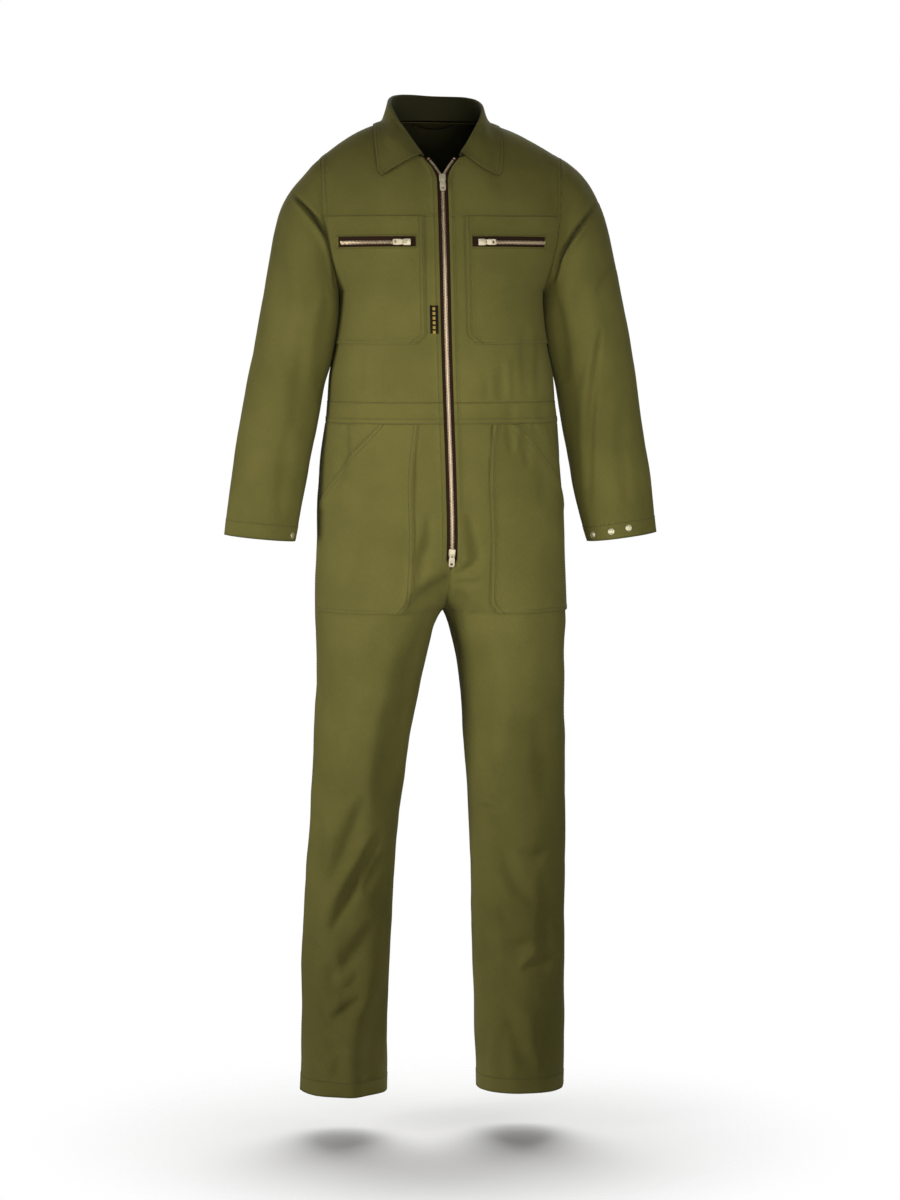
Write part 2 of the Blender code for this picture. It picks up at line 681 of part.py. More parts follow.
YOKE_ANGLES = ARMHOLE_ANGLES[:YOKE_STEP + 1][::-1]
LOWER_ANGLES = ARMHOLE_ANGLES[YOKE_STEP:][::-1]
ARMHOLE_HEIGHTS = [float(armhole("left", FRONT, angle)[2]) for angle in LOWER_ANGLES]
ARMHOLE_HEIGHTS[0] = UNDERARM[1]
ARMHOLE_HEIGHTS[-1] = YOKE_Z
FRONT_HEIGHTS = [WAIST_TOP_Z, -0.402, -0.372, CHEST_POCKET["low"],
                 CHEST_POCKET["low"] + CHEST_POCKET["corner_z"], -0.300] + ARMHOLE_HEIGHTS
BACK_HEIGHTS = [WAIST_TOP_Z, -0.390, -0.345, -0.300] + ARMHOLE_HEIGHTS
POCKET_FIRST_ROW = 3


def chest_edge(z):
    low = CHEST_POCKET["low"]
    corner = max(0.0, 1 - (z - low) / CHEST_POCKET["corner_z"])
    if z < low:
        corner = 1.0
    return CHEST_POCKET["edge"] + CHEST_POCKET["corner_x"] * corner


def front_shares(side):
    def shares(z):
        slot = share_at(side, FRONT, slot_edge(z), z)
        edge = share_at(side, FRONT, chest_edge(z), z)
        zip_end = share_at(side, FRONT, chest_edge(z) + CHEST_POCKET["first"], z)
        rest = np.linspace(zip_end, CHEST_POCKET["outer"], CHEST_POCKET["columns"])
        return [slot, edge, *rest, 1.0]
    return shares


def make_front(side):
    points, normals = body_grid(side, FRONT, FRONT_HEIGHTS, front_shares(side))
    wall("front_" + side, points, normals, CLOTH, OLIVE)
    pocket = points[POCKET_FIRST_ROW:, 1:8]
    pocket_normals = normals[POCKET_FIRST_ROW:, 1:8]
    lift = SEAM + PATCH
    wall("chest_pocket_" + side, pocket, pocket_normals, PATCH, DARK_OLIVE, lift=lift,
         trims=(0, 6, 0, 0))
    return points, normals, pocket + pocket_normals * lift, pocket_normals


def make_yoke(side):
    columns = 9
    shares = front_shares(side)(YOKE_Z)
    bottom = [body_point(side, FRONT, share, YOKE_Z) for share in shares]
    ways = COLLAR_FRONT_WAYS[::-1]
    seam = columns - len(ways)
    top = [neckline(side, way) for way in ways]
    top += [shoulder(side, (k + 1) / seam) for k in range(seam)]
    outer = [armhole(side, FRONT, angle) for angle in YOKE_ANGLES]
    inner = []
    rows = len(YOKE_ANGLES)
    for i in range(rows):
        z = YOKE_Z + (NECK_FRONT[2] - YOKE_Z) * quarter_turn(i / (rows - 1))[2]
        inner.append(front_line(side, slot_edge(z), z))
    inner[-1] = top[0]
    points = patch(bottom, top, inner, outer)
    outward = np.array((SIDES[side] * 0.3, -0.8, 0.5))
    normals = grid_normals(points, outward)
    normals[0] = [body_normal(side, FRONT, share, YOKE_Z) for share in shares]
    normals[-1, len(ways) - 1:] = shoulder_normal(side)
    wall("yoke_front_" + side, points, normals, CLOTH, OLIVE)
    return points, normals


def make_back():
    grids = {}
    columns = 8
    for side in SIDES:
        def shares(z):
            return np.linspace(0.0, 1.0, columns)
        low, low_normals = body_grid(side, BACK, BACK_HEIGHTS, shares)
        bottom = list(low[-1])
        seam = columns - len(COLLAR_BACK_WAYS)
        top = [neckline(side, way) for way in COLLAR_BACK_WAYS]
        top += [shoulder(side, (k + 1) / seam) for k in range(seam)]
        outer = [armhole(side, BACK, angle) for angle in YOKE_ANGLES]
        inner = []
        rows = len(YOKE_ANGLES)
        for i in range(rows):
            t = quarter_turn(i / (rows - 1))
            inner.append(bottom[0] + (top[0] - bottom[0]) * t)
        high = patch(bottom, top, inner, outer)
        high_normals = grid_normals(high, np.array((SIDES[side] * 0.3, 0.8, 0.5)))
        high_normals[:, 0, 0] = 0.0
        high_normals[-1, len(COLLAR_BACK_WAYS) - 1:] = shoulder_normal(side)
        points = np.concatenate((low, high[1:]))
        normals = np.concatenate((low_normals, high_normals[1:]))
        grids[side] = (points, normals)
    whole = np.concatenate((grids["left"][0][:, :0:-1], grids["right"][0]), axis=1)
    facing = np.concatenate((grids["left"][1][:, :0:-1], grids["right"][1]), axis=1)
    wall("back", whole, facing, CLOTH, OLIVE)
    return whole, facing


def make_waistband():
    heights = (WAIST_LOW_Z, (WAIST_LOW_Z + WAIST_TOP_Z) / 2, WAIST_TOP_Z)
    for side in SIDES:
        def shares(z):
            slot = share_at(side, FRONT, slot_edge(z), z)
            return np.linspace(slot, 1.0, 9)
        points, normals = body_grid(side, FRONT, heights, shares)
        wall("waistband_front_" + side, points, normals, CLOTH, OLIVE)
    halves = []
    for side in SIDES:
        halves.append(body_grid(side, BACK, heights, lambda z: np.linspace(0.0, 1.0, 8)))
    whole = np.concatenate((halves[0][0][:, :0:-1], halves[1][0]), axis=1)
    facing = np.concatenate((halves[0][1][:, :0:-1], halves[1][1]), axis=1)
    wall("waistband_back", whole, facing, CLOTH, OLIVE)


LEG_FRONT_HEIGHTS = [WAIST_LOW_Z, -0.505, -0.540, -0.576, THIGH_POCKET["slant_low_z"], -0.652,
                     ZIP_LOW_Z, SLOT_END_Z, -0.732, FORK_Z + THIGH_POCKET["corner_z"], FORK_Z,
                     -0.787, -0.825, -0.890, -0.970, -1.055, -1.140, -1.220, -1.300, -1.400,
                     HEM_Z]
THIGH_LAST_ROW = LEG_FRONT_HEIGHTS.index(FORK_Z)
LEG_BACK_HEIGHTS = [WAIST_LOW_Z, -0.520, -0.575, -0.635, -0.690, -0.735]
LEG_BACK_HEIGHTS += LEG_FRONT_HEIGHTS[THIGH_LAST_ROW:]
THIGH_EDGE = read_table(THIGH_EDGE_COLUMNS, THIGH_EDGE_ROWS)


def thigh_edge(side, z):
    corner = max(0.0, 1 - (z - FORK_Z) / THIGH_POCKET["corner_z"])
    if z < FORK_Z:
        corner = 1.0
    return smooth(THIGH_EDGE, "z", side, z) + THIGH_POCKET["corner_x"] * corner


def slant_share(side, z):
    top = share_at(side, FRONT, THIGH_POCKET["slant_x"], WAIST_LOW_Z)
    drop = (WAIST_LOW_Z - z) / (WAIST_LOW_Z - THIGH_POCKET["slant_low_z"])
    return top + (THIGH_POCKET["outer"] - top) * min(1.0, max(0.0, drop))


def leg_front_shares(side):
    def shares(z):
        even = np.linspace(0.0, 1.0, 11)
        slot = share_at(side, FRONT, slot_edge(z), z)
        if slot_edge(z) <= 0.0:
            slot = 0.0
        edge = share_at(side, FRONT, thigh_edge(side, z), z)
        outer = slant_share(side, z)
        pocket = np.concatenate((np.linspace(slot, edge, 3)[:2], np.linspace(edge, outer, 6),
                                 np.linspace(outer, 1.0, 4)[1:]))
        relax = min(1.0, max(0.0, (FORK_Z - z) / THIGH_POCKET["relax"]))
        return pocket * (1 - relax) + even * relax
    return shares


def make_leg(side):
    folds = FOLD_ROWS["leg_" + side]
    points, normals = body_grid(side, FRONT, LEG_FRONT_HEIGHTS, leg_front_shares(side), folds)
    wall("leg_front_" + side, points, normals, CLOTH, OLIVE)
    pocket = points[:THIGH_LAST_ROW + 1, 2:8]
    pocket_normals = normals[:THIGH_LAST_ROW + 1, 2:8]
    wall("thigh_pocket_" + side, pocket, pocket_normals, PATCH, DARK_OLIVE,
         lift=SEAM + PATCH, trims=(6, 0, 0, 0))
    back, back_normals = body_grid(side, BACK, LEG_BACK_HEIGHTS,
                                   lambda z: np.linspace(0.0, 1.0, 9))
    wall("leg_back_" + side, back, back_normals, CLOTH, OLIVE)


def sleeve_ring(side, step, turns):
    # One ring of a sleeve, its points turned from the outer one by the front.
    table = SLEEVES[side]
    row = {name: smooth(table, "step", name, step) for name in SLEEVE_COLUMNS}
    sign = SIDES[side]
    outer = np.array((sign * row["outer_x"], row["centre_y"], row["outer_z"]))
    inner = np.array((sign * row["inner_x"], row["centre_y"], row["inner_z"]))
    centre = (outer + inner) / 2
    reach = (outer - inner) / 2
    exponent = 2 / SLEEVE_POWER
    ring = []
    for half, angle in turns:
        turn = math.radians(angle)
        depth = np.array((0.0, half * row["depth"], 0.0))
        ring.append(centre + reach * power(math.cos(turn), exponent)
                    + depth * power(math.sin(turn), exponent))
    return np.array(ring), centre


def make_sleeve(side):
    turns = [(FRONT, angle) for angle in ARMHOLE_ANGLES]
    turns += [(BACK, angle) for angle in ARMHOLE_ANGLES[-2:0:-1]]
    hole = np.array([armhole(side, half, angle) for half, angle in turns])
    first, _ = sleeve_ring(side, 0, turns)
    rings = []
    facings = []
    for step in range(len(SLEEVE_ROWS[side])):
        ring, centre = sleeve_ring(side, step, turns)
        fade = max(0.0, 1 - step / SLEEVE_BLEND_ROWS)
        rings.append(ring + (hole - first) * fade ** SLEEVE_BLEND_POWER)
        facings.append(ring - centre)
    points = np.array(rings)
    normals = grid_normals(points, np.array(facings), wrap=True)
    folds = FOLD_ROWS["sleeve_" + side]
    for i in range(1, points.shape[0]):
        for k in range(points.shape[1]):
            normal = normals[i, k]
            ease = min(1.0, i / SLEEVE_BLEND_ROWS)
            points[i, k] += normal * fold_offset(folds, points[i, k], normal) * ease
    wall("sleeve_" + side, points, normals, CLOTH, OLIVE, wrap=True, trims=(2, 0, 0, 0))
    return points, normals


def make_collar(tree):
    stations = [("left", way) for way in COLLAR_FRONT_WAYS[::-1]]
    stations += [("left", way) for way in COLLAR_BACK_WAYS[-2::-1]]
    stations += [("right", way) for way in COLLAR_BACK_WAYS[1:]]
    stations += [("right", way) for way in COLLAR_FRONT_WAYS[1:]]
    places = [(side, way, neckline(side, way)) for side, way in stations]
    stations = places[:1]
    for (side, way, seam), (next_side, next_way, next_seam) in zip(places, places[1:]):
        middle_side = side if next_side == side or way > 0 else next_side
        stations.append((middle_side, (way + next_way) / 2, (seam + next_seam) / 2))
        stations.append((next_side, next_way, next_seam))
    rows = []
    up = np.array((0.0, 0.0, 1.0))
    for side, way, seam in stations:
        shift = np.array((NECK_SHIFT, 0.0, 0.0))
        value = {name: smooth(COLLAR, "way", name, way) for name in COLLAR_COLUMNS[1:]}
        sign = SIDES[side]
        roll = np.array((sign * value["roll_x"], value["roll_y"], value["roll_z"])) + shift
        roll[2] -= COLLAR_TILT["rise"] * sign * way * max(0.0, COLLAR_TILT["until"] - way)
        near = math.exp(-((way - 1) / COLLAR_HUG["spread"]) ** 2)
        hug = COLLAR_HUG["depth"] * near - COLLAR_HUG["bulge"]
        edge = np.array((sign * value["edge_x"], value["edge_y"], value["edge_z"])) + shift
        edge, _ = laid(tree, edge, COLLAR_LIFT)
        out = edge - roll
        out[2] = 0.0
        out = unit(out)
        crest = roll + out * COLLAR_ROLL + up * COLLAR_ROLL
        beyond, _ = laid(tree, roll + out * 2 * COLLAR_ROLL, COLLAR_CLEAR, only_if_lower=True)
        foot = seam + unit(roll - seam) * COLLAR_FOOT
        row = [foot, (foot + roll) / 2, roll, crest, beyond]
        for share in COLLAR_FALL:
            point = beyond + (edge - beyond) * share
            point = point - up * hug * math.sin(math.pi * share)
            point, _ = laid(tree, point, COLLAR_CLEAR, only_if_lower=True)
            row.append(point)
        row.append(edge)
        rows.append(row)
    points = np.array(rows)
    centre = np.array((NECK_SHIFT, 0.0, COLLAR_CENTRE_Z))
    outward = np.zeros_like(points)
    outward[:, -2:] = points[:, -2:] - centre
    normals = grid_normals(points, outward)
    wall("collar", points, normals, COLLAR_WALL, OLIVE, trims=(0, 0, 0, 0))


# ---- zips --------------------------------------------------------------------------

ZIP_HEIGHTS = ([ZIP_TOP_Z - 0.0006, -0.062, -0.0725, ZIP_OPEN_Z, -0.100, -0.123, YOKE_Z]
               + [z for z in ARMHOLE_HEIGHTS[::-1][1:]] + FRONT_HEIGHTS[5::-1]
               + LEG_FRONT_HEIGHTS[:7])


def chain_line(z):
    # How far one chain lies from the centre front line.
    if z <= ZIP_OPEN_Z:
        return 0.0
    rise = (z - ZIP_OPEN_Z) / (ZIP_TOP_Z - ZIP_OPEN_Z)
    return (NECK_FRONT[0] - ZIP_HALF) * rise ** ZIP_FLARE["chain_power"]


def make_main_zip():
    for side in SIDES:
        rows = []
        facings = []
        for z in ZIP_HEIGHTS:
            outer = slot_edge(z) - (2 * SEAM if z > YOKE_Z else SEAM / 2)
            inner = chain_line(z)
            xs = (inner, (inner + outer) / 2, outer)
            rows.append([front_line(side, x, z) for x in xs])
            facings.append([front_line_normal(side, x, z) for x in xs])
        wall("zip_tape_" + side, np.array(rows), np.array(facings), TAPE, TAPE_BROWN,
             lift=-TAPE_SINK, trims=(0, 0, 1, 1), roughness=0.8)
    between = [z for z in ZIP_HEIGHTS if CHAIN_LOW_Z < z < CHAIN_TOP_Z]
    heights = [CHAIN_TOP_Z, *between, CHAIN_LOW_Z]
    rows = []
    facings = []
    for z in heights:
        rows.append([front_line("left", CHAIN_HALF, z), front_line("right", CHAIN_HALF, z)])
        facings.append([front_line_normal(side, CHAIN_HALF, z) for side in SIDES])
    wall("zip_chain", np.array(rows), np.array(facings), CHAIN_HIGH, BRASS,
         lift=SEAM + CHAIN_HIGH - TAPE_SINK, trims=(0, 0, 0, 0), roughness=0.35)
    for side in SIDES:
        rows = []
        facings = []
        for z in OPEN_TEETH["z"]:
            middle = chain_line(z) + OPEN_TEETH["offset"]
            xs = (middle - OPEN_TEETH["half"], middle + OPEN_TEETH["half"])
            rows.append([front_line(side, x, z) for x in xs])
            facings.append([front_line_normal(side, x, z) for x in xs])
        wall("zip_teeth_" + side, np.array(rows), np.array(facings), CHAIN_HIGH, BRASS,
             lift=SEAM + CHAIN_HIGH - TAPE_SINK, trims=(0, 0, 0, 0), roughness=0.35)
        make_stop(side)


def make_stop(side):
    z = STOP["z"]
    lower = z - STOP["ahead"]
    middle = chain_line(z) + OPEN_TEETH["offset"]
    place = front_line(side, middle, z)
    normal = front_line_normal(side, middle, z)
    ahead = unit(front_line(side, chain_line(lower), lower)
                 - front_line(side, chain_line(z), z))
    frame = local_frame(place + normal * (SEAM - TAPE_SINK), ahead, normal)
    long = STOP["half_along"] * MM
    wide = STOP["half_across"] * MM
    vertices, faces = block((-long, long), (-wide, wide), (0.0, STOP["high"] * MM))
    thing = make_object("zip_stop_" + side, vertices, faces, BRASS, 0.35, 1.0)
    thing.data.transform(frame)


def block(along, across, up):
    # A box given by its reach along, across and up.
    vertices = [(a, w, n) for a in along for w in across for n in up]
    faces = [(0, 1, 3, 2), (4, 6, 7, 5), (0, 4, 5, 1), (2, 3, 7, 6), (0, 2, 6, 4),
             (1, 5, 7, 3)]
    return vertices, faces


def local_frame(origin, along, up):
    # Axes: along, across and up, with up square to along.
    a = Vector(along).normalized()
    n = Vector(up)
    n = (n - a * n.dot(a)).normalized()
    w = n.cross(a)
    return Matrix(((a.x, w.x, n.x, origin[0]), (a.y, w.y, n.y, origin[1]),
                   (a.z, w.z, n.z, origin[2]), (0, 0, 0, 1)))


def extruded(outline, half):
    # An outline in the along-up plane, given a width across.
    count = len(outline)
    vertices = [(a, -half, n) for a, n in outline] + [(a, half, n) for a, n in outline]
    faces = [tuple(range(count)), tuple(range(2 * count - 1, count - 1, -1))]
    for k in range(count):
        j = (k + 1) % count
        faces.append((j, k, k + count, j + count))
    return vertices, faces


def slider_mesh(name, frame):
    s = SLIDER
    profile = ((-s["half"], s["foot"]), (-s["half"], s["top"]), (s["half"], s["top"]),
               (s["half"], s["foot"]), (s["channel_half"], s["foot"]),
               (s["channel_half"], s["channel_top"]), (-s["channel_half"], s["channel_top"]),
               (-s["channel_half"], s["foot"]))
    stations = ((s["behind"], s["rear"]), (s["behind"] + s["shoulder"], 1.0), (0.0, 1.0),
                (s["ahead"], s["narrow"]))
    vertices = []
    for along, wide in stations:
        vertices += [(along * MM, w * wide * MM, n * MM) for w, n in profile]
    count = len(profile)
    faces = [tuple(range(count))]
    faces.append(tuple(reversed(range(len(vertices) - count, len(vertices)))))
    for i in range(len(stations) - 1):
        for k in range(count):
            j = (k + 1) % count
            faces.append((i * count + k, (i + 1) * count + k, (i + 1) * count + j,
                          i * count + j))
    body = make_object(name, vertices, faces, PALE_BRASS, 0.3, 1.0)
    fix_normals(body)
    inside = BAIL["inside"]
    outside = inside + BAIL["wall"]
    base = s["top"] - BAIL["root"]
    corner = BAIL["corner"]
    outline = ((-outside, base), (-outside, corner), (-corner, outside), (corner, outside),
               (outside, corner), (outside, base), (inside, base), (inside, inside),
               (-inside, inside), (-inside, base))
    outline = [(a * MM, n * MM) for a, n in outline]
    vertices, faces = extruded(outline, BAIL["half"] * MM)
    arch = make_object(name + "_bail", vertices, faces, PALE_BRASS, 0.3, 1.0)
    fix_normals(arch)
    for thing in (body, arch):
        thing.data.transform(frame)
    arch.hide_render = True
    arch.display_type = "WIRE"
    union = body.modifiers.new("bail", "BOOLEAN")
    union.operation = "UNION"
    union.solver = "EXACT"
    union.object = arch


def fix_normals(thing):
    mesh = bmesh.new()
    mesh.from_mesh(thing.data)
    bmesh.ops.recalc_face_normals(mesh, faces=mesh.faces)
    mesh.to_mesh(thing.data)
    mesh.free()


def pull_mesh(name, frame):
    # A flat tab with the hole that the bail passes through and a slot near its tip.
    p = PULL
    alongs = (-p["bar"], p["bar"], p["hole_end"], p["widest"], *p["slot"], p["length"])
    halves = (p["neck"], p["neck"], p["neck_end"], p["half"], p["half"], p["half"], p["tip"])
    mesh = bmesh.new()
    grid = []
    for along, half in zip(alongs, halves):
        hole = p["hole_half"]
        grid.append([mesh.verts.new((along * MM, w * MM, -p["wall"] / 2 * MM))
                     for w in (-half, -hole, hole, half)])
    for i in range(len(alongs) - 1):
        for k in range(3):
            if k == 1 and i in PULL_HOLES:
                continue
            mesh.faces.new((grid[i][k], grid[i + 1][k], grid[i + 1][k + 1], grid[i][k + 1]))
    extra = bmesh.ops.extrude_face_region(mesh, geom=mesh.faces[:])
    raised = [g for g in extra["geom"] if isinstance(g, bmesh.types.BMVert)]
    bmesh.ops.translate(mesh, verts=raised, vec=(0, 0, p["wall"] * MM))
    bmesh.ops.recalc_face_normals(mesh, faces=mesh.faces)
    data = bpy.data.meshes.new(name)
    mesh.to_mesh(data)
    mesh.free()
    thing = bpy.data.objects.new(name, data)
    bpy.context.scene.collection.objects.link(thing)
    thing.data.materials.append(finish(name, PALE_BRASS, 0.3, 1.0))
    thing.matrix_world = frame


def make_slider(label, tape_point, along, up):
    origin = np.array(tape_point) + unit(np.array(up)) * AXIS_HIGH * MM
    frame = local_frame(origin, along, up)
    slider_mesh("slider_" + label, frame)
    pull_mesh("pull_" + label, frame)


def make_main_sliders():
    for label, z in SLIDER_Z.items():
        place = front_line("right", 0.0, z)
        normal = front_line_normal("right", 0.0, z)
        normal = unit(np.array((0.0, normal[1], normal[2])))
        lower = front_line("right", 0.0, z - PULL["length"] * MM)
        make_slider(label, place - normal * TAPE_SINK, lower - place, normal)


def make_chest_zip(side, points, normals):
    tree = outer_tree([(points, normals)])
    zip_size = CHEST_ZIP
    count = zip_size["columns"]
    tape = []
    facings = []
    for i in range(count):
        x = zip_size["inner"] + (zip_size["outer"] - zip_size["inner"]) * i / (count - 1)
        row = []
        facing = []
        for drop in (-1.0, 0.0, 1.0):
            z = zip_size["z"] + drop * zip_size["half"]
            guess = front_line(side, x, z)
            place, normal = laid(tree, guess, ZIP_LIFT + zip_size["tape"])
            row.append(place)
            facing.append(normal)
        tape.append(row)
        facings.append(facing)
    tape = np.array(tape)
    smooth_normals = grid_normals(tape, np.array(facings))
    wall("chest_zip_tape_" + side, tape, smooth_normals, zip_size["tape"], TAPE_BROWN,
         trims=(0, 0, 0, 0), roughness=0.8)
    middle = tape[:, 1]
    middle_normals = smooth_normals[:, 1]
    up = np.array((0.0, 0.0, CHAIN_HALF))
    strip = np.stack((middle[1:-1] - up, middle[1:-1] + up), axis=1)
    strip_normals = np.stack((middle_normals[1:-1], middle_normals[1:-1]), axis=1)
    wall("chest_zip_chain_" + side, strip, strip_normals, CHAIN_HIGH, BRASS,
         lift=SEAM + CHAIN_HIGH, trims=(0, 0, 0, 0), roughness=0.35)
    run = middle[2] - middle[1]
    normal = unit(middle_normals[1] + middle_normals[2])
    place = middle[1] + run * zip_size["slider_at"] + normal * zip_size["slider_rise"]
    make_slider("chest_" + side, place, run, normal)


# ---- small trim ----------------------------------------------------------------------

def make_tab(points, normals):
    # The woven tab lies flat on the front, beside the pocket's edge.
    tree = outer_tree([(points, normals)])
    rows = []
    facings = []
    for z in np.linspace(*TAB["z"], TAB["rows"]):
        row = []
        facing = []
        for x in TAB["x"]:
            place, normal = laid(tree, front_line("left", x, float(z)), TAB["gap"])
            row.append(place)
            facing.append(normal)
        rows.append(row)
        facings.append(facing)
    wall("label_tab", np.array(rows), np.array(facings), TAB["wall"], BLACK,
         lift=TAB["wall"], trims=(0, 0, 0, 0))


def make_snap(name, tree, guess):
    place, normal = laid(tree, guess, 0.0)
    frame = local_frame(place, (0.0, 0.0, 1.0), normal)
    count = SNAP["sides"]
    lowest = 0.0
    for k in range(count):
        turn = 2 * math.pi * k / count
        rim = frame @ Vector((SNAP["radius"] * math.cos(turn), SNAP["radius"] * math.sin(turn), 0))
        under, facing, _, _ = tree.find_nearest(rim)
        lowest = min(lowest, (rim - under).dot(facing))
    frame = Matrix.Translation(Vector(normal) * (SEAM - lowest)) @ frame
    levels = [(wide * SNAP["radius"], high * SNAP["high"]) for wide, high in SNAP["levels"]]
    vertices = []
    for radius, high in levels:
        for k in range(count):
            turn = 2 * math.pi * k / count
            vertices.append((radius * math.cos(turn), radius * math.sin(turn), high))
    faces = [tuple(range(count - 1, -1, -1))]
    faces.append(tuple(range(len(vertices) - count, len(vertices))))
    for i in range(len(levels) - 1):
        for k in range(count):
            j = (k + 1) % count
            faces.append((i * count + k, i * count + j, (i + 1) * count + j,
                          (i + 1) * count + k))
    thing = make_object(name, vertices, faces, PALE_BRASS, 0.3, 1.0)
    fix_normals(thing)
    thing.data.transform(frame)
    shade(thing, 50)


def make_snaps(side, points, normals):
    closed = (np.concatenate((points, points[:, :1]), axis=1),
              np.concatenate((normals, normals[:, :1]), axis=1))
    tree = outer_tree([closed])
    for number, guess in enumerate(SNAP_ROWS[side], start=1):
        make_snap("cuff_snap_%s_%d" % (side, number), tree, guess)


def make_loop():
    # The hanger loop hangs inside the back neck from its two ends.
    rows = []
    for k in range(LOOP["steps"] + 1):
        t = -1 + 2 * k / LOOP["steps"]
        x = NECK_SHIFT / 2 + LOOP["half"] * t
        y = NECK_BACK[0] * math.sqrt(1 - (LOOP["half"] * t / NECK_SIDE[0]) ** 2) + LOOP["rise"]
        top = NECK_BACK[1] - LOOP["below"] - LOOP["drop"] * (1 - t * t)
        rows.append([np.array((x, y, top)),
                     np.array((x, y + LOOP["lean"], top - LOOP["tape"]))])
    facings = np.full((len(rows), 2, 3), (0.0, -1.0, 0.0))
    wall("hanger_loop", np.array(rows), facings, LOOP["wall"], DARK_OLIVE, trims=(0, 0, 0, 0))


# ---- the suit ------------------------------------------------------------------------

def main():
    clear_objects()
    back = make_back()
    laid_on = [back]
    for side in SIDES:
        laid_on.append(make_yoke(side))
        front_points, front_normals, pocket, pocket_normals = make_front(side)
        make_chest_zip(side, pocket, pocket_normals)
        if side == "left":
            make_tab(front_points, front_normals)
        make_leg(side)
        sleeve_points, sleeve_normals = make_sleeve(side)
        make_snaps(side, sleeve_points, sleeve_normals)
    make_waistband()
    make_collar(outer_tree(laid_on))
    make_main_zip()
    make_main_sliders()
    make_loop()


main()
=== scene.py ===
import functools
import math

import bpy
import numpy as np
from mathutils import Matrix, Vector, noise
from mathutils.bvhtree import BVHTree


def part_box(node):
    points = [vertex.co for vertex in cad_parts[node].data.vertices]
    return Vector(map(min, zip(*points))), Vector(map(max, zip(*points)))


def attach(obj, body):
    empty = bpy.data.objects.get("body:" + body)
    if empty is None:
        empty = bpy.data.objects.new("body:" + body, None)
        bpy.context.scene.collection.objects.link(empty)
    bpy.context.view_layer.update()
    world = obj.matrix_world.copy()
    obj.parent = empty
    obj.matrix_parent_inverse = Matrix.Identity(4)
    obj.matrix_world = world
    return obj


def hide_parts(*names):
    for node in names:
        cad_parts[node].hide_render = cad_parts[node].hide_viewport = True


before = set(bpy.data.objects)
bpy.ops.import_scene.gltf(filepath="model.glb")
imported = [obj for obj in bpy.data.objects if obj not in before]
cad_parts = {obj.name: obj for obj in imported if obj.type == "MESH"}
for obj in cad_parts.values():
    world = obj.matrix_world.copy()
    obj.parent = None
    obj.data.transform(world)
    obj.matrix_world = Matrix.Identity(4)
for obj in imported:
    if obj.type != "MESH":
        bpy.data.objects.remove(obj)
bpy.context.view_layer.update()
mm = 0.001
left = -1        # the sides as seen from in front of the suit
right = 1
front = -1
back = 1
sideNames = {left: "left", right: "right"}
level = {"yoke": -0.146, "waistTop": -0.435, "waistLow": -0.470, "fork": -0.768, "hem": -1.546,
         "underarm": -0.262}     # heights of the seams, from the neck points
seamGap = 0.00004
noStitch = 0.05      # so far from a stitch that its groove doesn't show


# finishes

def linear(hexColour):
    # sRGB hex to the linear values that shaders take
    values = [int(hexColour[i:i + 2], 16) / 255 for i in (1, 3, 5)]
    values = [v / 12.92 if v <= 0.04045 else ((v + 0.055) / 1.055) ** 2.4 for v in values]
    return (*values, 1.0)


def fill(tree, node, settings):
    # sets a node's properties and inputs, and wires up those that are given a socket
    for name, value in dict(settings).items():
        if isinstance(value, bpy.types.NodeSocket):
            tree.links.new(value, node.inputs[name])
        elif isinstance(name, str) and hasattr(node, name):
            setattr(node, name, value)
        elif value is not None:
            node.inputs[name].default_value = value
    return node


def addNode(tree, kind, settings=()):
    return fill(tree, tree.nodes.new("ShaderNode" + kind), settings)


def newMaterial(name):
    material = bpy.data.materials.new(name)
    material.use_nodes = True
    return material, material.node_tree, material.node_tree.nodes["Principled BSDF"]


drillLook = {"light": "#716c31", "dark": "#68642b", "grooveDirtAndShade": "#5b5624", "nap": "#8f8a52",
             "paintedShade": "#38371a", "roughness": 0.92, "sheen": 0.10, "sheenRoughness": 0.55,
             "twillPitch": 0.0022, "twillTurn": 63, "twillDepth": 0.00010,
             "slub": (0.0014, 0.006), "slubDepth": 0.00008, "fleck": 0.07, "cloud": 0.09,
             "groove": 0.0013, "grooveDepth": 0.0004, "pucker": 0.011, "puckerReach": 0.011,
             "puckerDepth": 0.0010}


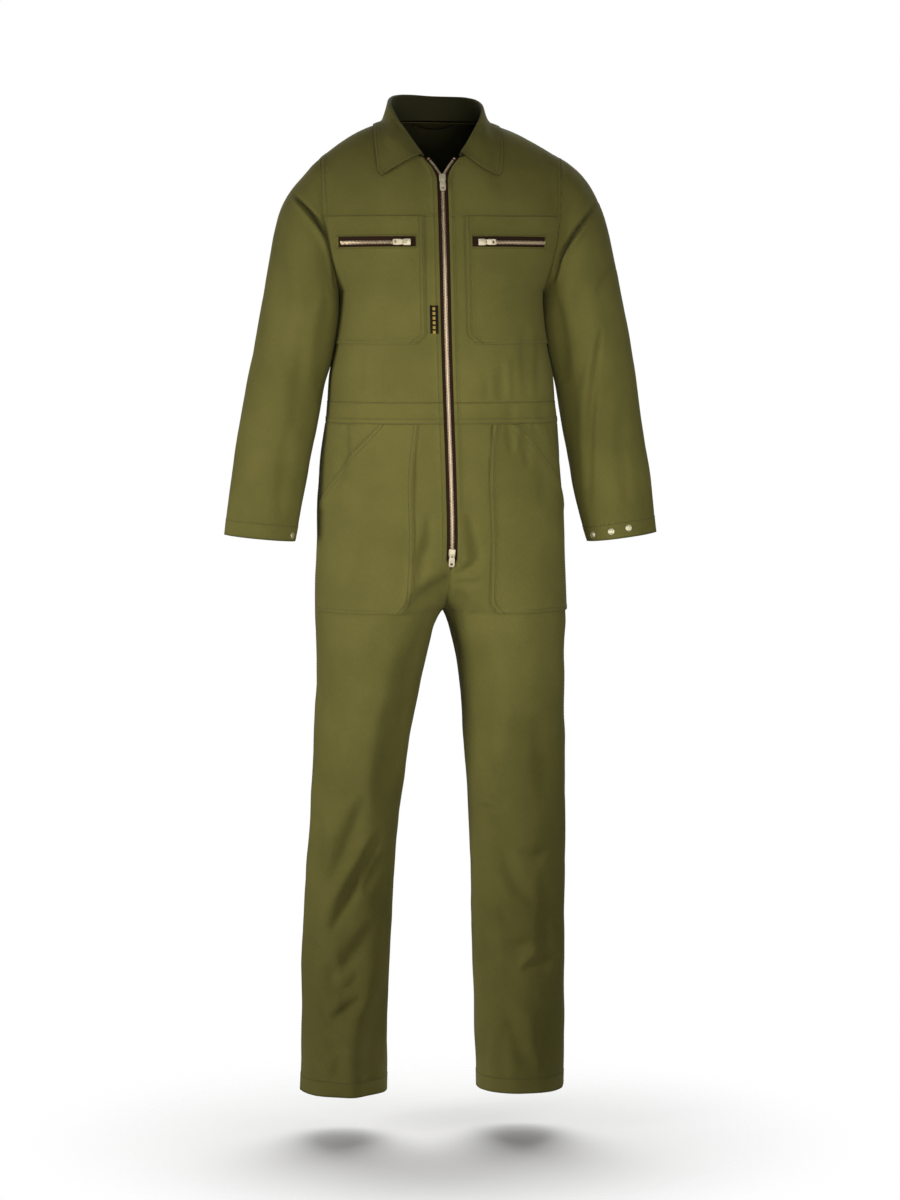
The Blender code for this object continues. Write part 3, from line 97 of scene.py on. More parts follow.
def makeDrill(name, look):
    # matt cotton drill, piece dyed: soft diagonal twill, slubs, seams with drawn-in stitches, and a
    # dark olive painted shade wherever the inside attribute asks for it
    material, tree, shader = newMaterial(name)
    cloth = addNode(tree, "UVMap", {"uv_map": "cloth"}).outputs["UV"]
    place = addNode(tree, "TexCoord").outputs["Object"]
    # the inside attribute carries painted shade: where it is 1 the cloth takes a dark olive that
    # stands for shade
    line, inside = (addNode(tree, "Attribute", {"attribute_name": kind}).outputs["Fac"]
                    for kind in ("line", "inside"))
    # a wave texture of scale 1 has 10 / pi lines a metre; real twill lines are 0.7 mm apart,
    # drawn coarser here so that they show
    turned = addNode(tree, "Mapping", {
        "Vector": cloth, "Rotation": (0, 0, math.radians(look["twillTurn"]))}).outputs["Vector"]
    twill = addNode(tree, "TexWave", {
        "Vector": turned, "Scale": math.pi / (10 * look["twillPitch"]), "Distortion": 1.5,
        "Detail": 2.0, "Detail Scale": 2.0}).outputs["Fac"]
    stretched = addNode(tree, "Mapping", {
        "Vector": cloth, "Scale": (*(1 / size for size in look["slub"]), 1)}).outputs["Vector"]
    grains = ((stretched, 1.0, 3.0), (cloth, look["pucker"], 1.5), (place, look["cloud"], 4.0))
    slub, pucker, cloud = (addNode(tree, "TexNoise", {
        "Vector": vector, "Scale": 1 / size, "Detail": detail}).outputs["Fac"]
        for vector, size, detail in grains)
    # how near the stitches are: a narrow groove, and a band that they draw in
    groove, band = (addNode(tree, "MapRange", {
        "interpolation_type": "SMOOTHSTEP", "Value": line, "From Min": 0.0, "From Max": look[reach],
        "To Min": 1.0, "To Max": 0.0}).outputs["Result"] for reach in ("groove", "puckerReach"))
    drawn = addNode(tree, "Math", {"operation": "MULTIPLY", 0: pucker, 1: band}).outputs["Value"]
    fade = addNode(tree, "MapRange", {"Value": cloud, "From Min": 0.35, "From Max": 0.65})
    dyed = addNode(tree, "Mix", {"data_type": "RGBA", 0: fade.outputs["Result"],
                                 6: linear(look["dark"]), 7: linear(look["light"])}).outputs[2]
    fleck = addNode(tree, "MapRange", {
        "Value": slub, "From Min": 0.3, "From Max": 0.7, "To Min": 1 - look["fleck"],
        "To Max": 1 + look["fleck"]}).outputs["Result"]
    colour = addNode(tree, "VectorMath", {"operation": "SCALE", 0: dyed,
                                          "Scale": fleck}).outputs["Vector"]
    # the stitch grooves are painted darker, partly dirt and partly painted shade; then the inside
    # attribute paints shade over the cloth
    for share, paint in ((groove, "grooveDirtAndShade"), (inside, "paintedShade")):
        colour = addNode(tree, "Mix", {"data_type": "RGBA", 0: share, 6: colour,
                                       7: linear(look[paint])}).outputs[2]
    normal = None
    for height, depth, down in ((twill, "twillDepth", False), (slub, "slubDepth", False),
                                (drawn, "puckerDepth", False), (groove, "grooveDepth", True)):
        normal = addNode(tree, "Bump", {
            "invert": down, "Strength": 1.0, "Distance": look[depth], "Height": height,
            "Normal": normal}).outputs["Normal"]
    fill(tree, shader, {
        "Roughness": look["roughness"], "Sheen Weight": look["sheen"], "IOR": 1.46,
        "Sheen Roughness": look["sheenRoughness"], "Sheen Tint": linear(look["nap"]),
        "Base Color": colour, "Normal": normal})
    return material


def makeTape(name, look):
    # woven tape: matt, with fine ribs across it
    material, tree, shader = newMaterial(name)
    cloth = addNode(tree, "UVMap", {"uv_map": "cloth"}).outputs["UV"]
    ribs = addNode(tree, "TexWave", {
        "bands_direction": look["across"], "Vector": cloth,
        "Scale": math.pi / (10 * look["ribPitch"]), "Distortion": 0.6}).outputs["Fac"]
    tone = addNode(tree, "Mix", {"data_type": "RGBA", 0: ribs, 6: linear(look["dark"]),
                                 7: linear(look["light"])})
    bump = addNode(tree, "Bump", {"Strength": 1.0, "Distance": 0.0002, "Height": ribs})
    fill(tree, shader, {
        "Roughness": look["roughness"], "Specular IOR Level": 0.2,
        "Base Color": tone.outputs[2], "Normal": bump.outputs["Normal"]})
    return material


def makeMetal(name, look):
    # stamped and tumbled brass: bright, with fine dull scuffs
    material, tree, shader = newMaterial(name)
    place = addNode(tree, "TexCoord").outputs["Object"]
    scuff = addNode(tree, "TexNoise", {"Vector": place, "Scale": 1 / look["scuff"],
                                       "Detail": 4.0}).outputs["Fac"]
    gloss = addNode(tree, "MapRange", {
        "Value": scuff, "From Min": 0.3, "From Max": 0.7, "To Min": look["smooth"],
        "To Max": look["dull"]})
    tone = addNode(tree, "Mix", {"data_type": "RGBA", 0: scuff, 6: linear(look["dark"]),
                                 7: linear(look["light"])})
    fill(tree, shader, {"Metallic": 1.0, "Base Color": tone.outputs[2],
                        "Roughness": gloss.outputs["Result"]})
    return material


def makeThread(name, look):
    # corespun thread, a tone paler than the drill
    material, tree, shader = newMaterial(name)
    place = addNode(tree, "TexCoord").outputs["Object"]
    ply = addNode(tree, "TexNoise", {"Vector": place, "Scale": 1 / look["ply"]}).outputs["Fac"]
    tone = addNode(tree, "Mix", {"data_type": "RGBA", 0: ply, 6: linear(look["dark"]),
                                 7: linear(look["light"])})
    fill(tree, shader, {"Roughness": 0.65, "Sheen Weight": 0.2, "Base Color": tone.outputs[2]})
    return material


def makeLabelTape(name, look):
    # black woven tab with a broken mustard stripe down its middle
    material, tree, shader = newMaterial(name)
    cloth = addNode(tree, "UVMap", {"uv_map": "cloth"}).outputs["UV"]
    axes = addNode(tree, "SeparateXYZ", {"Vector": cloth}).outputs
    stripe = axes["X"]
    for operation, amount in (("SUBTRACT", look["middle"]), ("ABSOLUTE", None),
                              ("LESS_THAN", look["half"])):
        stripe = addNode(tree, "Math", {"operation": operation, 0: stripe,
                                        1: amount}).outputs["Value"]
    dash = axes["Y"]
    for operation, amount in (("DIVIDE", look["dashPitch"]), ("FRACT", None),
                              ("LESS_THAN", look["dashShare"]), ("MULTIPLY", stripe)):
        dash = addNode(tree, "Math", {"operation": operation, 0: dash, 1: amount}).outputs["Value"]
    tone = addNode(tree, "Mix", {"data_type": "RGBA", 0: dash, 6: linear(look["ground"]),
                                 7: linear(look["dash"])})
    ribs = addNode(tree, "TexWave", {"bands_direction": "Y", "Vector": cloth,
                                     "Scale": math.pi / (10 * look["ribPitch"])})
    bump = addNode(tree, "Bump", {"Strength": 1.0, "Distance": 0.00015,
                                  "Height": ribs.outputs["Fac"]})
    fill(tree, shader, {
        "Roughness": 0.8, "Specular IOR Level": 0.2, "Normal": bump.outputs["Normal"],
        "Base Color": tone.outputs[2]})
    return material


drill = makeDrill("olive_cotton_drill", drillLook)
zipTape = makeTape("brown_woven_tape", {"light": "#3a2515", "dark": "#1f130a", "roughness": 0.9,
                                        "ribPitch": 0.0016, "across": "Y"})
loopTape = makeTape("olive_twill_tape", {"light": "#38351b", "dark": "#2a2813",
                                         "roughness": 0.85, "ribPitch": 0.0015, "across": "X"})
toothBrass = makeMetal("polished_tooth_brass", {"light": "#f4e4c8", "dark": "#dcc09a",
                                                "smooth": 0.42, "dull": 0.6, "scuff": 0.004})
sliderBrass = makeMetal("pale_slider_brass", {"light": "#f8f0d8", "dark": "#e6d8b4",
                                              "smooth": 0.54, "dull": 0.68, "scuff": 0.005})
studBrass = makeMetal("pale_stud_brass", {"light": "#f1ecd0", "dark": "#d8d0ac",
                                          "smooth": 0.5, "dull": 0.66, "scuff": 0.003})
thread = makeThread("olive_thread", {"light": "#868050", "dark": "#6e693a", "ply": 0.0008})
tabTape = makeLabelTape("black_woven_tape", {
    "ground": "#1b180c", "dash": "#b59a48", "middle": 0.0068, "half": 0.0021,
    "dashPitch": 0.0073, "dashShare": 0.62, "ribPitch": 0.0009})
print("finishes ready")


# form of the suit: half sections, from the centre line to the side

trunkRows = np.array((
    # z, half width, front, back
    (-0.050, 0.190, 0.089, 0.086),
    (-0.100, 0.200, 0.109, 0.106),
    (-0.146, 0.190, 0.121, 0.118),
    (-0.200, 0.175, 0.130, 0.124),
    (-0.262, 0.162, 0.133, 0.122),
    (-0.302, 0.1626, 0.132, 0.118),
    (-0.347, 0.1686, 0.130, 0.113),
    (-0.395, 0.1780, 0.128, 0.108),
    (-0.434, 0.1810, 0.127, 0.106),
    (-0.470, 0.1842, 0.127, 0.108)))
trunkPower = 2.4        # how square the sections of the trunk are, 2 is an ellipse
sectionSteps = 500
legRows = {
    left: np.array((
        # z, outer, inner, middle y, front, back, power
        (-0.470, 0.1842, -0.1842, 0.000, 0.127, 0.108, 2.40),
        (-0.530, 0.193, -0.190, 0.000, 0.129, 0.121, 2.40),
        (-0.600, 0.1985, -0.170, 0.000, 0.130, 0.134, 2.40),
        (-0.660, 0.2005, -0.120, 0.000, 0.129, 0.138, 2.40),
        (-0.710, 0.201, -0.068, -0.001, 0.125, 0.135, 2.35),
        (-0.745, 0.201, -0.026, -0.002, 0.120, 0.127, 2.30),
        (-0.768, 0.201, 0.000, -0.003, 0.115, 0.120, 2.25),
        (-0.787, 0.201, 0.010, -0.004, 0.112, 0.115, 2.20),
        (-0.816, 0.200, 0.018, -0.004, 0.109, 0.110, 2.20),
        (-0.880, 0.200, 0.033, -0.004, 0.102, 0.101, 2.20),
        (-0.977, 0.203, 0.052, -0.002, 0.091, 0.091, 2.20),
        (-1.106, 0.211, 0.069, 0.003, 0.080, 0.080, 2.20),
        (-1.236, 0.219, 0.079, 0.009, 0.076, 0.076, 2.20),
        (-1.366, 0.224, 0.083, 0.013, 0.0745, 0.0745, 2.20),
        (-1.465, 0.226, 0.085, 0.015, 0.074, 0.074, 2.20),
        (-1.546, 0.227, 0.086, 0.016, 0.074, 0.074, 2.20))),
    right: np.array((
        (-0.470, 0.1842, -0.1842, 0.000, 0.127, 0.108, 2.40),
        (-0.530, 0.1885, -0.187, 0.000, 0.129, 0.121, 2.40),
        (-0.600, 0.1930, -0.167, 0.000, 0.130, 0.134, 2.40),
        (-0.660, 0.1955, -0.119, 0.000, 0.129, 0.138, 2.40),
        (-0.710, 0.1970, -0.067, -0.001, 0.125, 0.135, 2.35),
        (-0.745, 0.1980, -0.026, -0.002, 0.120, 0.127, 2.30),
        (-0.768, 0.1985, 0.000, -0.003, 0.115, 0.120, 2.25),
        (-0.787, 0.199, 0.009, -0.004, 0.112, 0.115, 2.20),
        (-0.816, 0.197, 0.017, -0.004, 0.109, 0.110, 2.20),
        (-0.880, 0.197, 0.028, -0.004, 0.102, 0.101, 2.20),
        (-0.977, 0.198, 0.037, -0.002, 0.091, 0.091, 2.20),
        (-1.106, 0.200, 0.046, 0.003, 0.081, 0.081, 2.20),
        (-1.236, 0.200, 0.050, 0.009, 0.077, 0.077, 2.20),
        (-1.366, 0.200, 0.054, 0.013, 0.075, 0.075, 2.20),
        (-1.465, 0.200, 0.056, 0.015, 0.074, 0.074, 2.20),
        (-1.546, 0.200, 0.059, 0.016, 0.074, 0.074, 2.20)))}
# z, and how far the centre front line stands off to the side
leanRows = np.array(((-0.030, -0.0090), (-0.200, -0.0078), (-0.320, -0.0053), (-0.430, -0.0016),
                     (-0.557, 0.0026), (-0.666, 0.0044), (-0.768, 0.0006), (-0.850, 0.0000)))
sleeveRows = {
    left: np.array((
        # outer x and z, inner x and z, middle y, half depth
        (0.190, -0.051, 0.1620, -0.262, 0.000, 0.072),
        (0.210, -0.070, 0.1630, -0.267, 0.000, 0.077),
        (0.235, -0.099, 0.1630, -0.276, 0.000, 0.081),
        (0.253, -0.130, 0.1631, -0.288, 0.000, 0.082),
        (0.264, -0.168, 0.1636, -0.303, 0.000, 0.080),
        (0.272, -0.216, 0.1656, -0.322, 0.002, 0.076),
        (0.282, -0.276, 0.1698, -0.348, 0.003, 0.071),
        (0.293, -0.332, 0.1762, -0.379, 0.004, 0.067),
        (0.304, -0.387, 0.1860, -0.411, 0.004, 0.064),
        (0.314, -0.442, 0.1940, -0.455, 0.000, 0.061),
        (0.325, -0.497, 0.2050, -0.510, -0.008, 0.057),
        (0.335, -0.560, 0.2180, -0.575, -0.022, 0.051),
        (0.347, -0.645, 0.2360, -0.656, -0.042, 0.044))),
    right: np.array((
        (0.190, -0.051, 0.1620, -0.262, 0.000, 0.072),
        (0.214, -0.070, 0.1630, -0.267, 0.000, 0.077),
        (0.238, -0.098, 0.1630, -0.276, 0.000, 0.081),
        (0.254, -0.130, 0.1631, -0.288, 0.000, 0.082),
        (0.266, -0.168, 0.1636, -0.303, 0.000, 0.080),
        (0.278, -0.216, 0.1656, -0.322, 0.002, 0.076),
        (0.291, -0.276, 0.1698, -0.348, 0.003, 0.072),
        (0.303, -0.334, 0.1762, -0.378, 0.004, 0.068),
        (0.313, -0.390, 0.1850, -0.411, 0.004, 0.065),
        (0.319, -0.447, 0.1920, -0.457, 0.000, 0.062),
        (0.326, -0.503, 0.2010, -0.512, -0.008, 0.058),
        (0.335, -0.564, 0.2110, -0.577, -0.022, 0.052),
        (0.341, -0.644, 0.2310, -0.659, -0.042, 0.044)))}
armhole = {"top": (0.190, -0.051), "low": (0.162, -0.262), "depth": 0.072, "bow": 0.010,
           "round": 0.85, "yokeTurns": (84.3, 66, 46, 24, 0)}
neck = {"shift": -0.008, "side": (0.078, 0.005), "back": (0.070, 0.008),
        "front": (0.029, -0.088, -0.054), "sweepX": 1.3, "sweepZ": 1.6}
shoulderRise = {left: 0.0080, right: 0.0045}
zipSlot = {"half": 0.0085, "top": -0.054, "open": -0.083, "flare": -0.093, "low": -0.690,
           "end": -0.705, "power": 1.3, "chainPower": 1.15, "close": 0.0030}
armMiddle = (armhole["top"][1] + armhole["low"][1]) / 2
armHalf = (armhole["top"][1] - armhole["low"][1]) / 2


def smoothCurve(places, values, at):
    # cubic curve through table values, with the slopes of their neighbours
    if places[0] > places[-1]:
        places, values = places[::-1], values[::-1]
    slopes = np.gradient(values, places, axis=0)
    at = np.clip(at, places[0], places[-1])
    k = np.clip(np.searchsorted(places, at) - 1, 0, len(places) - 2)
    span = places[k + 1] - places[k]
    t = (at - places[k]) / span
    return ((2 * t ** 3 - 3 * t ** 2 + 1) * values[k] + (t ** 3 - 2 * t ** 2 + t) * span * slopes[k]
            + (3 * t ** 2 - 2 * t ** 3) * values[k + 1] + (t ** 3 - t ** 2) * span * slopes[k + 1])


def unit(vectors):
    return vectors / np.maximum(np.linalg.norm(vectors, axis=-1, keepdims=True), 1e-12)


def runOf(points):
    # the length run so far at each point of a line
    return np.concatenate(([0.0], np.cumsum(np.linalg.norm(np.diff(points, axis=0), axis=1))))


def alongLine(places, run, values):
    return np.stack([np.interp(places, run, values[:, k]) for k in range(3)], axis=-1)


def eased(low, high, at):
    # 0 up to low, 1 from high on, smooth between them
    t = np.clip((at - low) / (high - low), 0, 1)
    return t * t * (3 - 2 * t)


def frontLean(z):
    return smoothCurve(leanRows[:, 0], leanRows[:, 1], z)


def armholeReach(turn):
    high = np.cos(np.radians(turn))
    wide = np.maximum(0.0, np.sin(np.radians(turn)))
    reach = (armhole["low"][0] + (armhole["top"][0] - armhole["low"][0]) * (high + 1) / 2
             + armhole["bow"] * wide ** 2)
    return reach, armhole["depth"] * wide ** armhole["round"], armMiddle + armHalf * high


def armholePoints(side, half, turns):
    # turns run from 0 at the top of the armhole to 180 degrees at its lowest point
    reach, deep, z = armholeReach(np.asarray(turns, dtype=float))
    lean = 0.0
    if half == front:
        lean = frontLean(z) * deep / smoothCurve(trunkRows[:, 0], trunkRows[:, 2], z)
    return np.stack((side * reach + lean, half * deep, z), axis=-1)


@functools.lru_cache(maxsize=None)
def halfSection(side, half, z):
    # a half section's points, with the length run so far
    if z > level["waistLow"]:
        wide, depth = (float(smoothCurve(trunkRows[:, 0], trunkRows[:, k], z))
                       for k in (1, 2 if half == front else 3))
        last = math.pi / 2
        if z > level["underarm"]:
            turn = math.degrees(math.acos(max(-1, min(1, (z - armMiddle) / armHalf))))
            reach, deep, _ = armholeReach(turn)
            fall = (1 - (deep / depth) ** trunkPower) ** (1 / trunkPower)
            wide = reach / fall
            last = math.asin(min(1.0, fall ** (trunkPower / 2)))
        turns = np.linspace(0, last, sectionSteps)
        x = wide * np.sin(turns) ** (2 / trunkPower)
        y = half * depth * np.abs(np.cos(turns)) ** (2 / trunkPower)
        middle = 0.0
    else:
        rows = legRows[side]
        outer, inner, middle, depth, bend = (
            float(smoothCurve(rows[:, 0], rows[:, k], z))
            for k in (1, 2, 3, 4 if half == front else 5, 6))
        centre = (outer + inner) / 2
        wide = (outer - inner) / 2
        first = 0.0
        if inner < 0:
            first = math.acos(min(1.0, max(0.0, centre / wide)) ** (bend / 2))
        turns = np.linspace(first, math.pi, sectionSteps)
        across = np.cos(turns)
        x = centre - wide * np.sign(across) * np.abs(across) ** (2 / bend)
        y = middle + half * depth * np.abs(np.sin(turns)) ** (2 / bend)
    run = np.concatenate(([0.0], np.cumsum(np.hypot(np.diff(x), np.diff(y)))))
    return x, y, middle, depth, run


def sectionAt(side, half, z):
    return halfSection(side, half, round(float(z), 5))


def bodyRow(side, half, z, distances):
    # points at distances from the centre line, or from the inseam on a leg
    x, y, middle, depth, run = sectionAt(side, half, z)
    atX = np.interp(distances, run, x)
    atY = np.interp(distances, run, y)
    lean = 0.0
    if half == front:
        lean = frontLean(z) * np.maximum(0.0, (middle - atY) / depth)
    return np.stack((side * atX + lean, atY, np.full_like(atX, z)), axis=-1)


def runLength(side, half, z):
    return sectionAt(side, half, z)[4][-1]


def runAt(side, half, z, x):
    # the distance along a section at x from the centre line
    xs, _, _, _, run = sectionAt(side, half, z)
    return np.interp(x, xs, run)


def neckPoints(side, ways):
    # ways run from 0 at the centre back, by 1 at the neck point, to 2 at the front edge
    ways = np.asarray(ways, dtype=float)
    turn = np.radians(90 * np.where(ways <= 1, ways, ways - 1))
    sin = np.clip(np.sin(turn), 0, 1)
    cos = np.clip(np.cos(turn), 0, 1)
    sideX, sideZ = neck["side"]
    backY, backZ = neck["back"]
    frontX, frontY, frontZ = neck["front"]
    x = np.where(ways <= 1, sideX * sin, frontX + (sideX - frontX) * cos ** neck["sweepX"])
    y = np.where(ways <= 1, backY * cos, frontY * sin)
    z = np.where(ways <= 1, backZ + (sideZ - backZ) * sin ** 2,
                 sideZ + (frontZ - sideZ) * sin ** neck["sweepZ"])
    return np.stack((side * x + neck["shift"], y, z), axis=-1)


def shoulderPoints(side, shares):
    shares = np.asarray(shares, dtype=float)[..., None]
    start = neckPoints(side, 1.0)
    end = armholePoints(side, front, 0.0)
    rise = np.array((0.0, 0.0, shoulderRise[side])) * np.sin(math.pi * shares)
    return start + (end - start) * shares + rise


def slotEdge(z):
    # half of the width between the two front edges
    half = zipSlot["half"]
    if z > zipSlot["flare"]:
        rise = (z - zipSlot["flare"]) / (zipSlot["top"] - zipSlot["flare"])
        return (half + (neck["front"][0] - half) * rise ** zipSlot["power"]
                - zipSlot["close"] * math.sin(math.pi * rise))
    if z > zipSlot["low"]:
        return half
    return half * max(0.0, (z - zipSlot["end"]) / (zipSlot["low"] - zipSlot["end"]))


def chainLine(z):
    # how far each row of teeth runs from the centre line
    rise = max(0.0, (z - zipSlot["open"]) / (zipSlot["top"] - zipSlot["open"]))
    return (neck["front"][0] - zipSlot["half"]) * rise ** zipSlot["chainPower"]


def quarterTurn(t):
    rise = np.sin(math.pi / 2 * t)
    return np.stack((rise, 1 - np.cos(math.pi / 2 * t), rise), axis=-1)


def blendEdges(bottom, top, inner, outer):
    # a rounded surface between four edges of points
    t = quarterTurn(np.linspace(0, 1, len(inner)))[:, None]
    c = np.linspace(0, 1, len(bottom))[None, :, None]
    corners = (1 - t) * ((1 - c) * bottom[0] + c * bottom[-1]) + t * ((1 - c) * top[0] + c * top[-1])
    return ((1 - t) * bottom[None] + t * top[None] + (1 - c) * inner[:, None]
            + c * outer[:, None] - corners)

# creases and swellings of the worn cloth

folds = []
gathers = []
# the dark entries set the painted shade down in steep creases: how strong, from which slopes on, and
# how wide
foldShape = {"curveSteps": 8, "margin": 4, "turnAway": 1.7, "ends": 0.65, "belly": 0.5,
             "fade": 0.7, "ridgeAt": 1.8, "ridgeWidth": 1.15, "dark": 0.9, "creaseShadeSlopes": (1.0, 2.2),
             "creaseShadeWidth": 0.8}
gatherShape = {"blend": 0.012, "sway": 0.4, "stretch": 0.8, "fade": 1.3}
bodySwells = (((85, 85, 230), 2.2, 1), ((34, 34, 80), 0.9, 2), ((15, 15, 26), 0.22, 3))
legSwells = (((85, 85, 230), 2.8, 1), ((38, 38, 74), 2.0, 2), ((17, 17, 30), 0.5, 3))
sleeveSwells = (((70, 70, 200), 2.6, 4), ((30, 30, 75), 1.2, 5), ((14, 14, 24), 0.25, 6))
collarSwells = (((60, 60, 60), 1.0, 7), ((22, 22, 22), 0.3, 8))
chestZipZ = -0.187


def addFolds(half, only, rows):
    # soft troughs: width, depth, ridge, and then the x and z of points along each.
    # Its ridge lies to a trough's left, or to its right where it is below 0
    for width, depth, ridge, *points in rows:
        path = np.array(points, dtype=float) * mm
        spans = len(path) - 1
        steps = np.linspace(0, spans, foldShape["curveSteps"] * spans + 1)
        curve = np.stack([smoothCurve(np.arange(spans + 1.0), path[:, k], steps)
                          for k in (0, 1)], axis=-1)
        folds.append({"half": half, "curve": curve, "width": width * mm, "depth": depth * mm,
                      "ridge": ridge, "only": only})


def addGathers(half, xs, z, reach, pitch, depth):
    # short upright ripples that run down or up from a seam, reach < 0 is down
    gathers.append({"half": half, "xs": np.array(xs) * mm, "z": z * mm, "reach": reach * mm,
                    "pitch": pitch * mm, "depth": depth * mm})


def alongCurve(curve, places):
    # how far along the curve each place lies, and how far off it, right of it is below 0
    nearest = np.full(len(places), 1.0)
    along = np.zeros(len(places))
    across = np.zeros(len(places))
    spans = len(curve) - 1
    for k in range(spans):
        run = curve[k + 1] - curve[k]
        aside = places - curve[k]
        t = np.clip(aside @ run / (run @ run), 0, 1)
        gap = aside - t[:, None] * run
        distance = np.hypot(gap[:, 0], gap[:, 1])
        better = distance < nearest
        nearest[better] = distance[better]
        along[better] = (k + t[better]) / spans
        turn = np.sign(run[0] * gap[:, 1] - run[1] * gap[:, 0])
        across[better] = (turn * distance)[better]
    return along, across


def foldHeights(points, normals, name):
    # heights of all the creases, and the painted shade down in the sharp ones
    shape = foldShape
    height = np.zeros(len(points))
    dark = np.zeros(len(points))
    place = points[:, (0, 2)]
    for fold in folds:
        if not name.startswith(fold["only"]):
            continue
        curve = fold["curve"]
        margin = shape["margin"] * fold["width"]
        show = np.clip(fold["half"] * normals[:, 1] * shape["turnAway"] + 0.05, 0, 1)
        near = np.flatnonzero(np.all((place > curve.min(axis=0) - margin)
                                     & (place < curve.max(axis=0) + margin), axis=1)
                              & (show > 0))
        if not len(near):
            continue
        along, across = alongCurve(curve, place[near])
        away = across / (fold["width"] * (shape["ends"]
                                          + shape["belly"] * np.sin(math.pi * along)))
        fade = np.sin(math.pi * along) ** shape["fade"]
        trough = -np.exp(-away ** 2)
        if fold["ridge"]:
            beside = away - shape["ridgeAt"] * np.sign(fold["ridge"])
            trough = trough + abs(fold["ridge"]) * np.exp(-(beside / shape["ridgeWidth"]) ** 2)
        height[near] += fold["depth"] * fade * show[near] * trough
        # painted shade in the steep creases, strongest along their middle
        steep = shape["dark"] * eased(*shape["creaseShadeSlopes"], fold["depth"] / fold["width"])
        dark[near] = np.maximum(dark[near], steep * fade * show[near]
                                * np.exp(-(away / shape["creaseShadeWidth"]) ** 2))
    return height, dark


def gatherHeights(points, normals):
    shape = gatherShape
    height = np.zeros(len(points))
    for k, gather in enumerate(gathers):
        t = (points[:, 2] - gather["z"]) / gather["reach"]
        low, high = gather["xs"]
        inside = (eased(low, low + shape["blend"], points[:, 0])
                  * (1 - eased(high - shape["blend"], high, points[:, 0]))
                  * np.clip(gather["half"] * normals[:, 1] * 2, 0, 1))
        for i in np.flatnonzero((t > 0) & (t < 1) & (inside > 0)):
            sway = shape["sway"] * math.sin(4 * t[i] + k)
            wave = noise.noise((points[i, 0] / gather["pitch"] + sway, shape["stretch"] * t[i],
                                3.7 * k))
            height[i] += (gather["depth"] * 2.0 * wave * inside[i] * (1 - t[i]) ** shape["fade"]
                          * min(1.0, 8 * t[i] + 0.2))
    return height


def swellHeights(points, swells):
    # slow uneven swelling, each with its lengths in x, y and z, its height and its seed
    height = np.zeros(len(points))
    for size, amount, seed in swells:
        scaled = points / (np.array(size) * mm) + seed * 7.31
        height += amount * mm * np.array([noise.noise(p) for p in scaled])
    return height


# where the cloth lies calm: each pair is where a blend starts and ends
calmZones = {"zip": (0.012, 0.055), "zipEnd": -0.72, "chestZip": (0.010, 0.040),
             "chestZipEnd": (0.160, 0.180), "armsLow": (-0.47, -0.43), "armsHigh": (-0.27, -0.23),
             "armsTurned": (0.5, 0.8), "armsOut": (0.20, 0.22), "arms": 0.85}


def calmed(points, normals):
    # 1 where the cloth may swell, less beside the zips and where the arms lie on the sides
    zone = calmZones
    x, _, z = points.T
    aside = np.abs(x - frontLean(z))
    ahead = np.clip(-normals[:, 1] * 3, 0, 1)
    slot = 1 - (1 - eased(*zone["zip"], aside)) * ahead * (z > zone["zipEnd"])
    chest = 1 - ((1 - eased(*zone["chestZip"], np.abs(z - chestZipZ)))
                 * (1 - eased(*zone["chestZipEnd"], aside)) * ahead)
    arms = (eased(*zone["armsLow"], z) * (1 - eased(*zone["armsHigh"], z))
            * eased(*zone["armsTurned"], np.abs(normals[:, 0]))
            * (1 - eased(*zone["armsOut"], np.abs(x))))
    return slot * chest * (1 - zone["arms"] * arms)


# sewn edges in mm: marks are the places of exact rows of points, lines those of the stitches,
# and the seam's band is raised as far as "to", with a dip at its very edge
felledMarks = (0, 0.8, 1.6, 2.4, 5, 7.4, 8.2, 9.0, 9.8, 10.6, 13)
edgeKinds = {name: dict(zip(("marks", "lines", "raise", "to", "dip"), row)) for name, row in {
    "plain": ((0, 0.9, 2.2, 5), (), 0, 1, 0.5),
    "cut": ((0, 0.9, 2.2, 5), (), 0, 1, 0),
    "felled": (felledMarks, (1.6, 8.2), 0.7, 9.6, 1.0),
    "armhole": (felledMarks, (1.6, 8.2), 0.25, 9.6, 0.1),
    "single": ((0, 0.8, 1.6, 2.4, 4, 7), (1.6,), 0.35, 3.2, 0.9),
    "patch": ((0, 0.8, 1.6, 2.4, 4.2, 6.2, 7.0, 7.8, 8.6, 9.4, 12), (1.6, 7.0), 0.45, 8.6, 0.2),
    "zip": ((0, 1, 3, 5.2, 6.0, 6.8, 8.0, 9.0, 12), (6.0,), 0.45, 8.4, 0),
    "collar": ((0, 0.8, 1.6, 3, 5.2, 6.0, 6.8, 8), (6.0,), 0, 1, 0),
    "hem": ((0, 1, 4, 8, 12, 16, 20, 23.2, 24, 24.8, 25.6, 26.4, 27.2, 30), (24.0,), 0.45, 26.0,
            0)}.items()}


def marksOf(kind):
    return np.array(edgeKinds[kind]["marks"]) * mm


def countFor(length, startKind, endKind, step):
    plain = length - marksOf(startKind)[-1] - marksOf(endKind)[-1]
    return max(4, int(math.ceil(plain / step)) + 1)


def placesAcross(length, startKind, endKind, count, scales=(1.0, 1.0), extra=()):
    # distances across a panel: exact places at its sewn edges, even ones between
    start = seamGap / 2 + marksOf(startKind) * scales[0]
    end = seamGap / 2 + marksOf(endKind) * scales[1]
    middle = np.linspace(start[-1], length - end[-1], count)
    places = np.concatenate((start[:-1], middle, (length - end[:-1])[::-1]))
    return np.sort(np.concatenate((places, extra))) if len(extra) else places


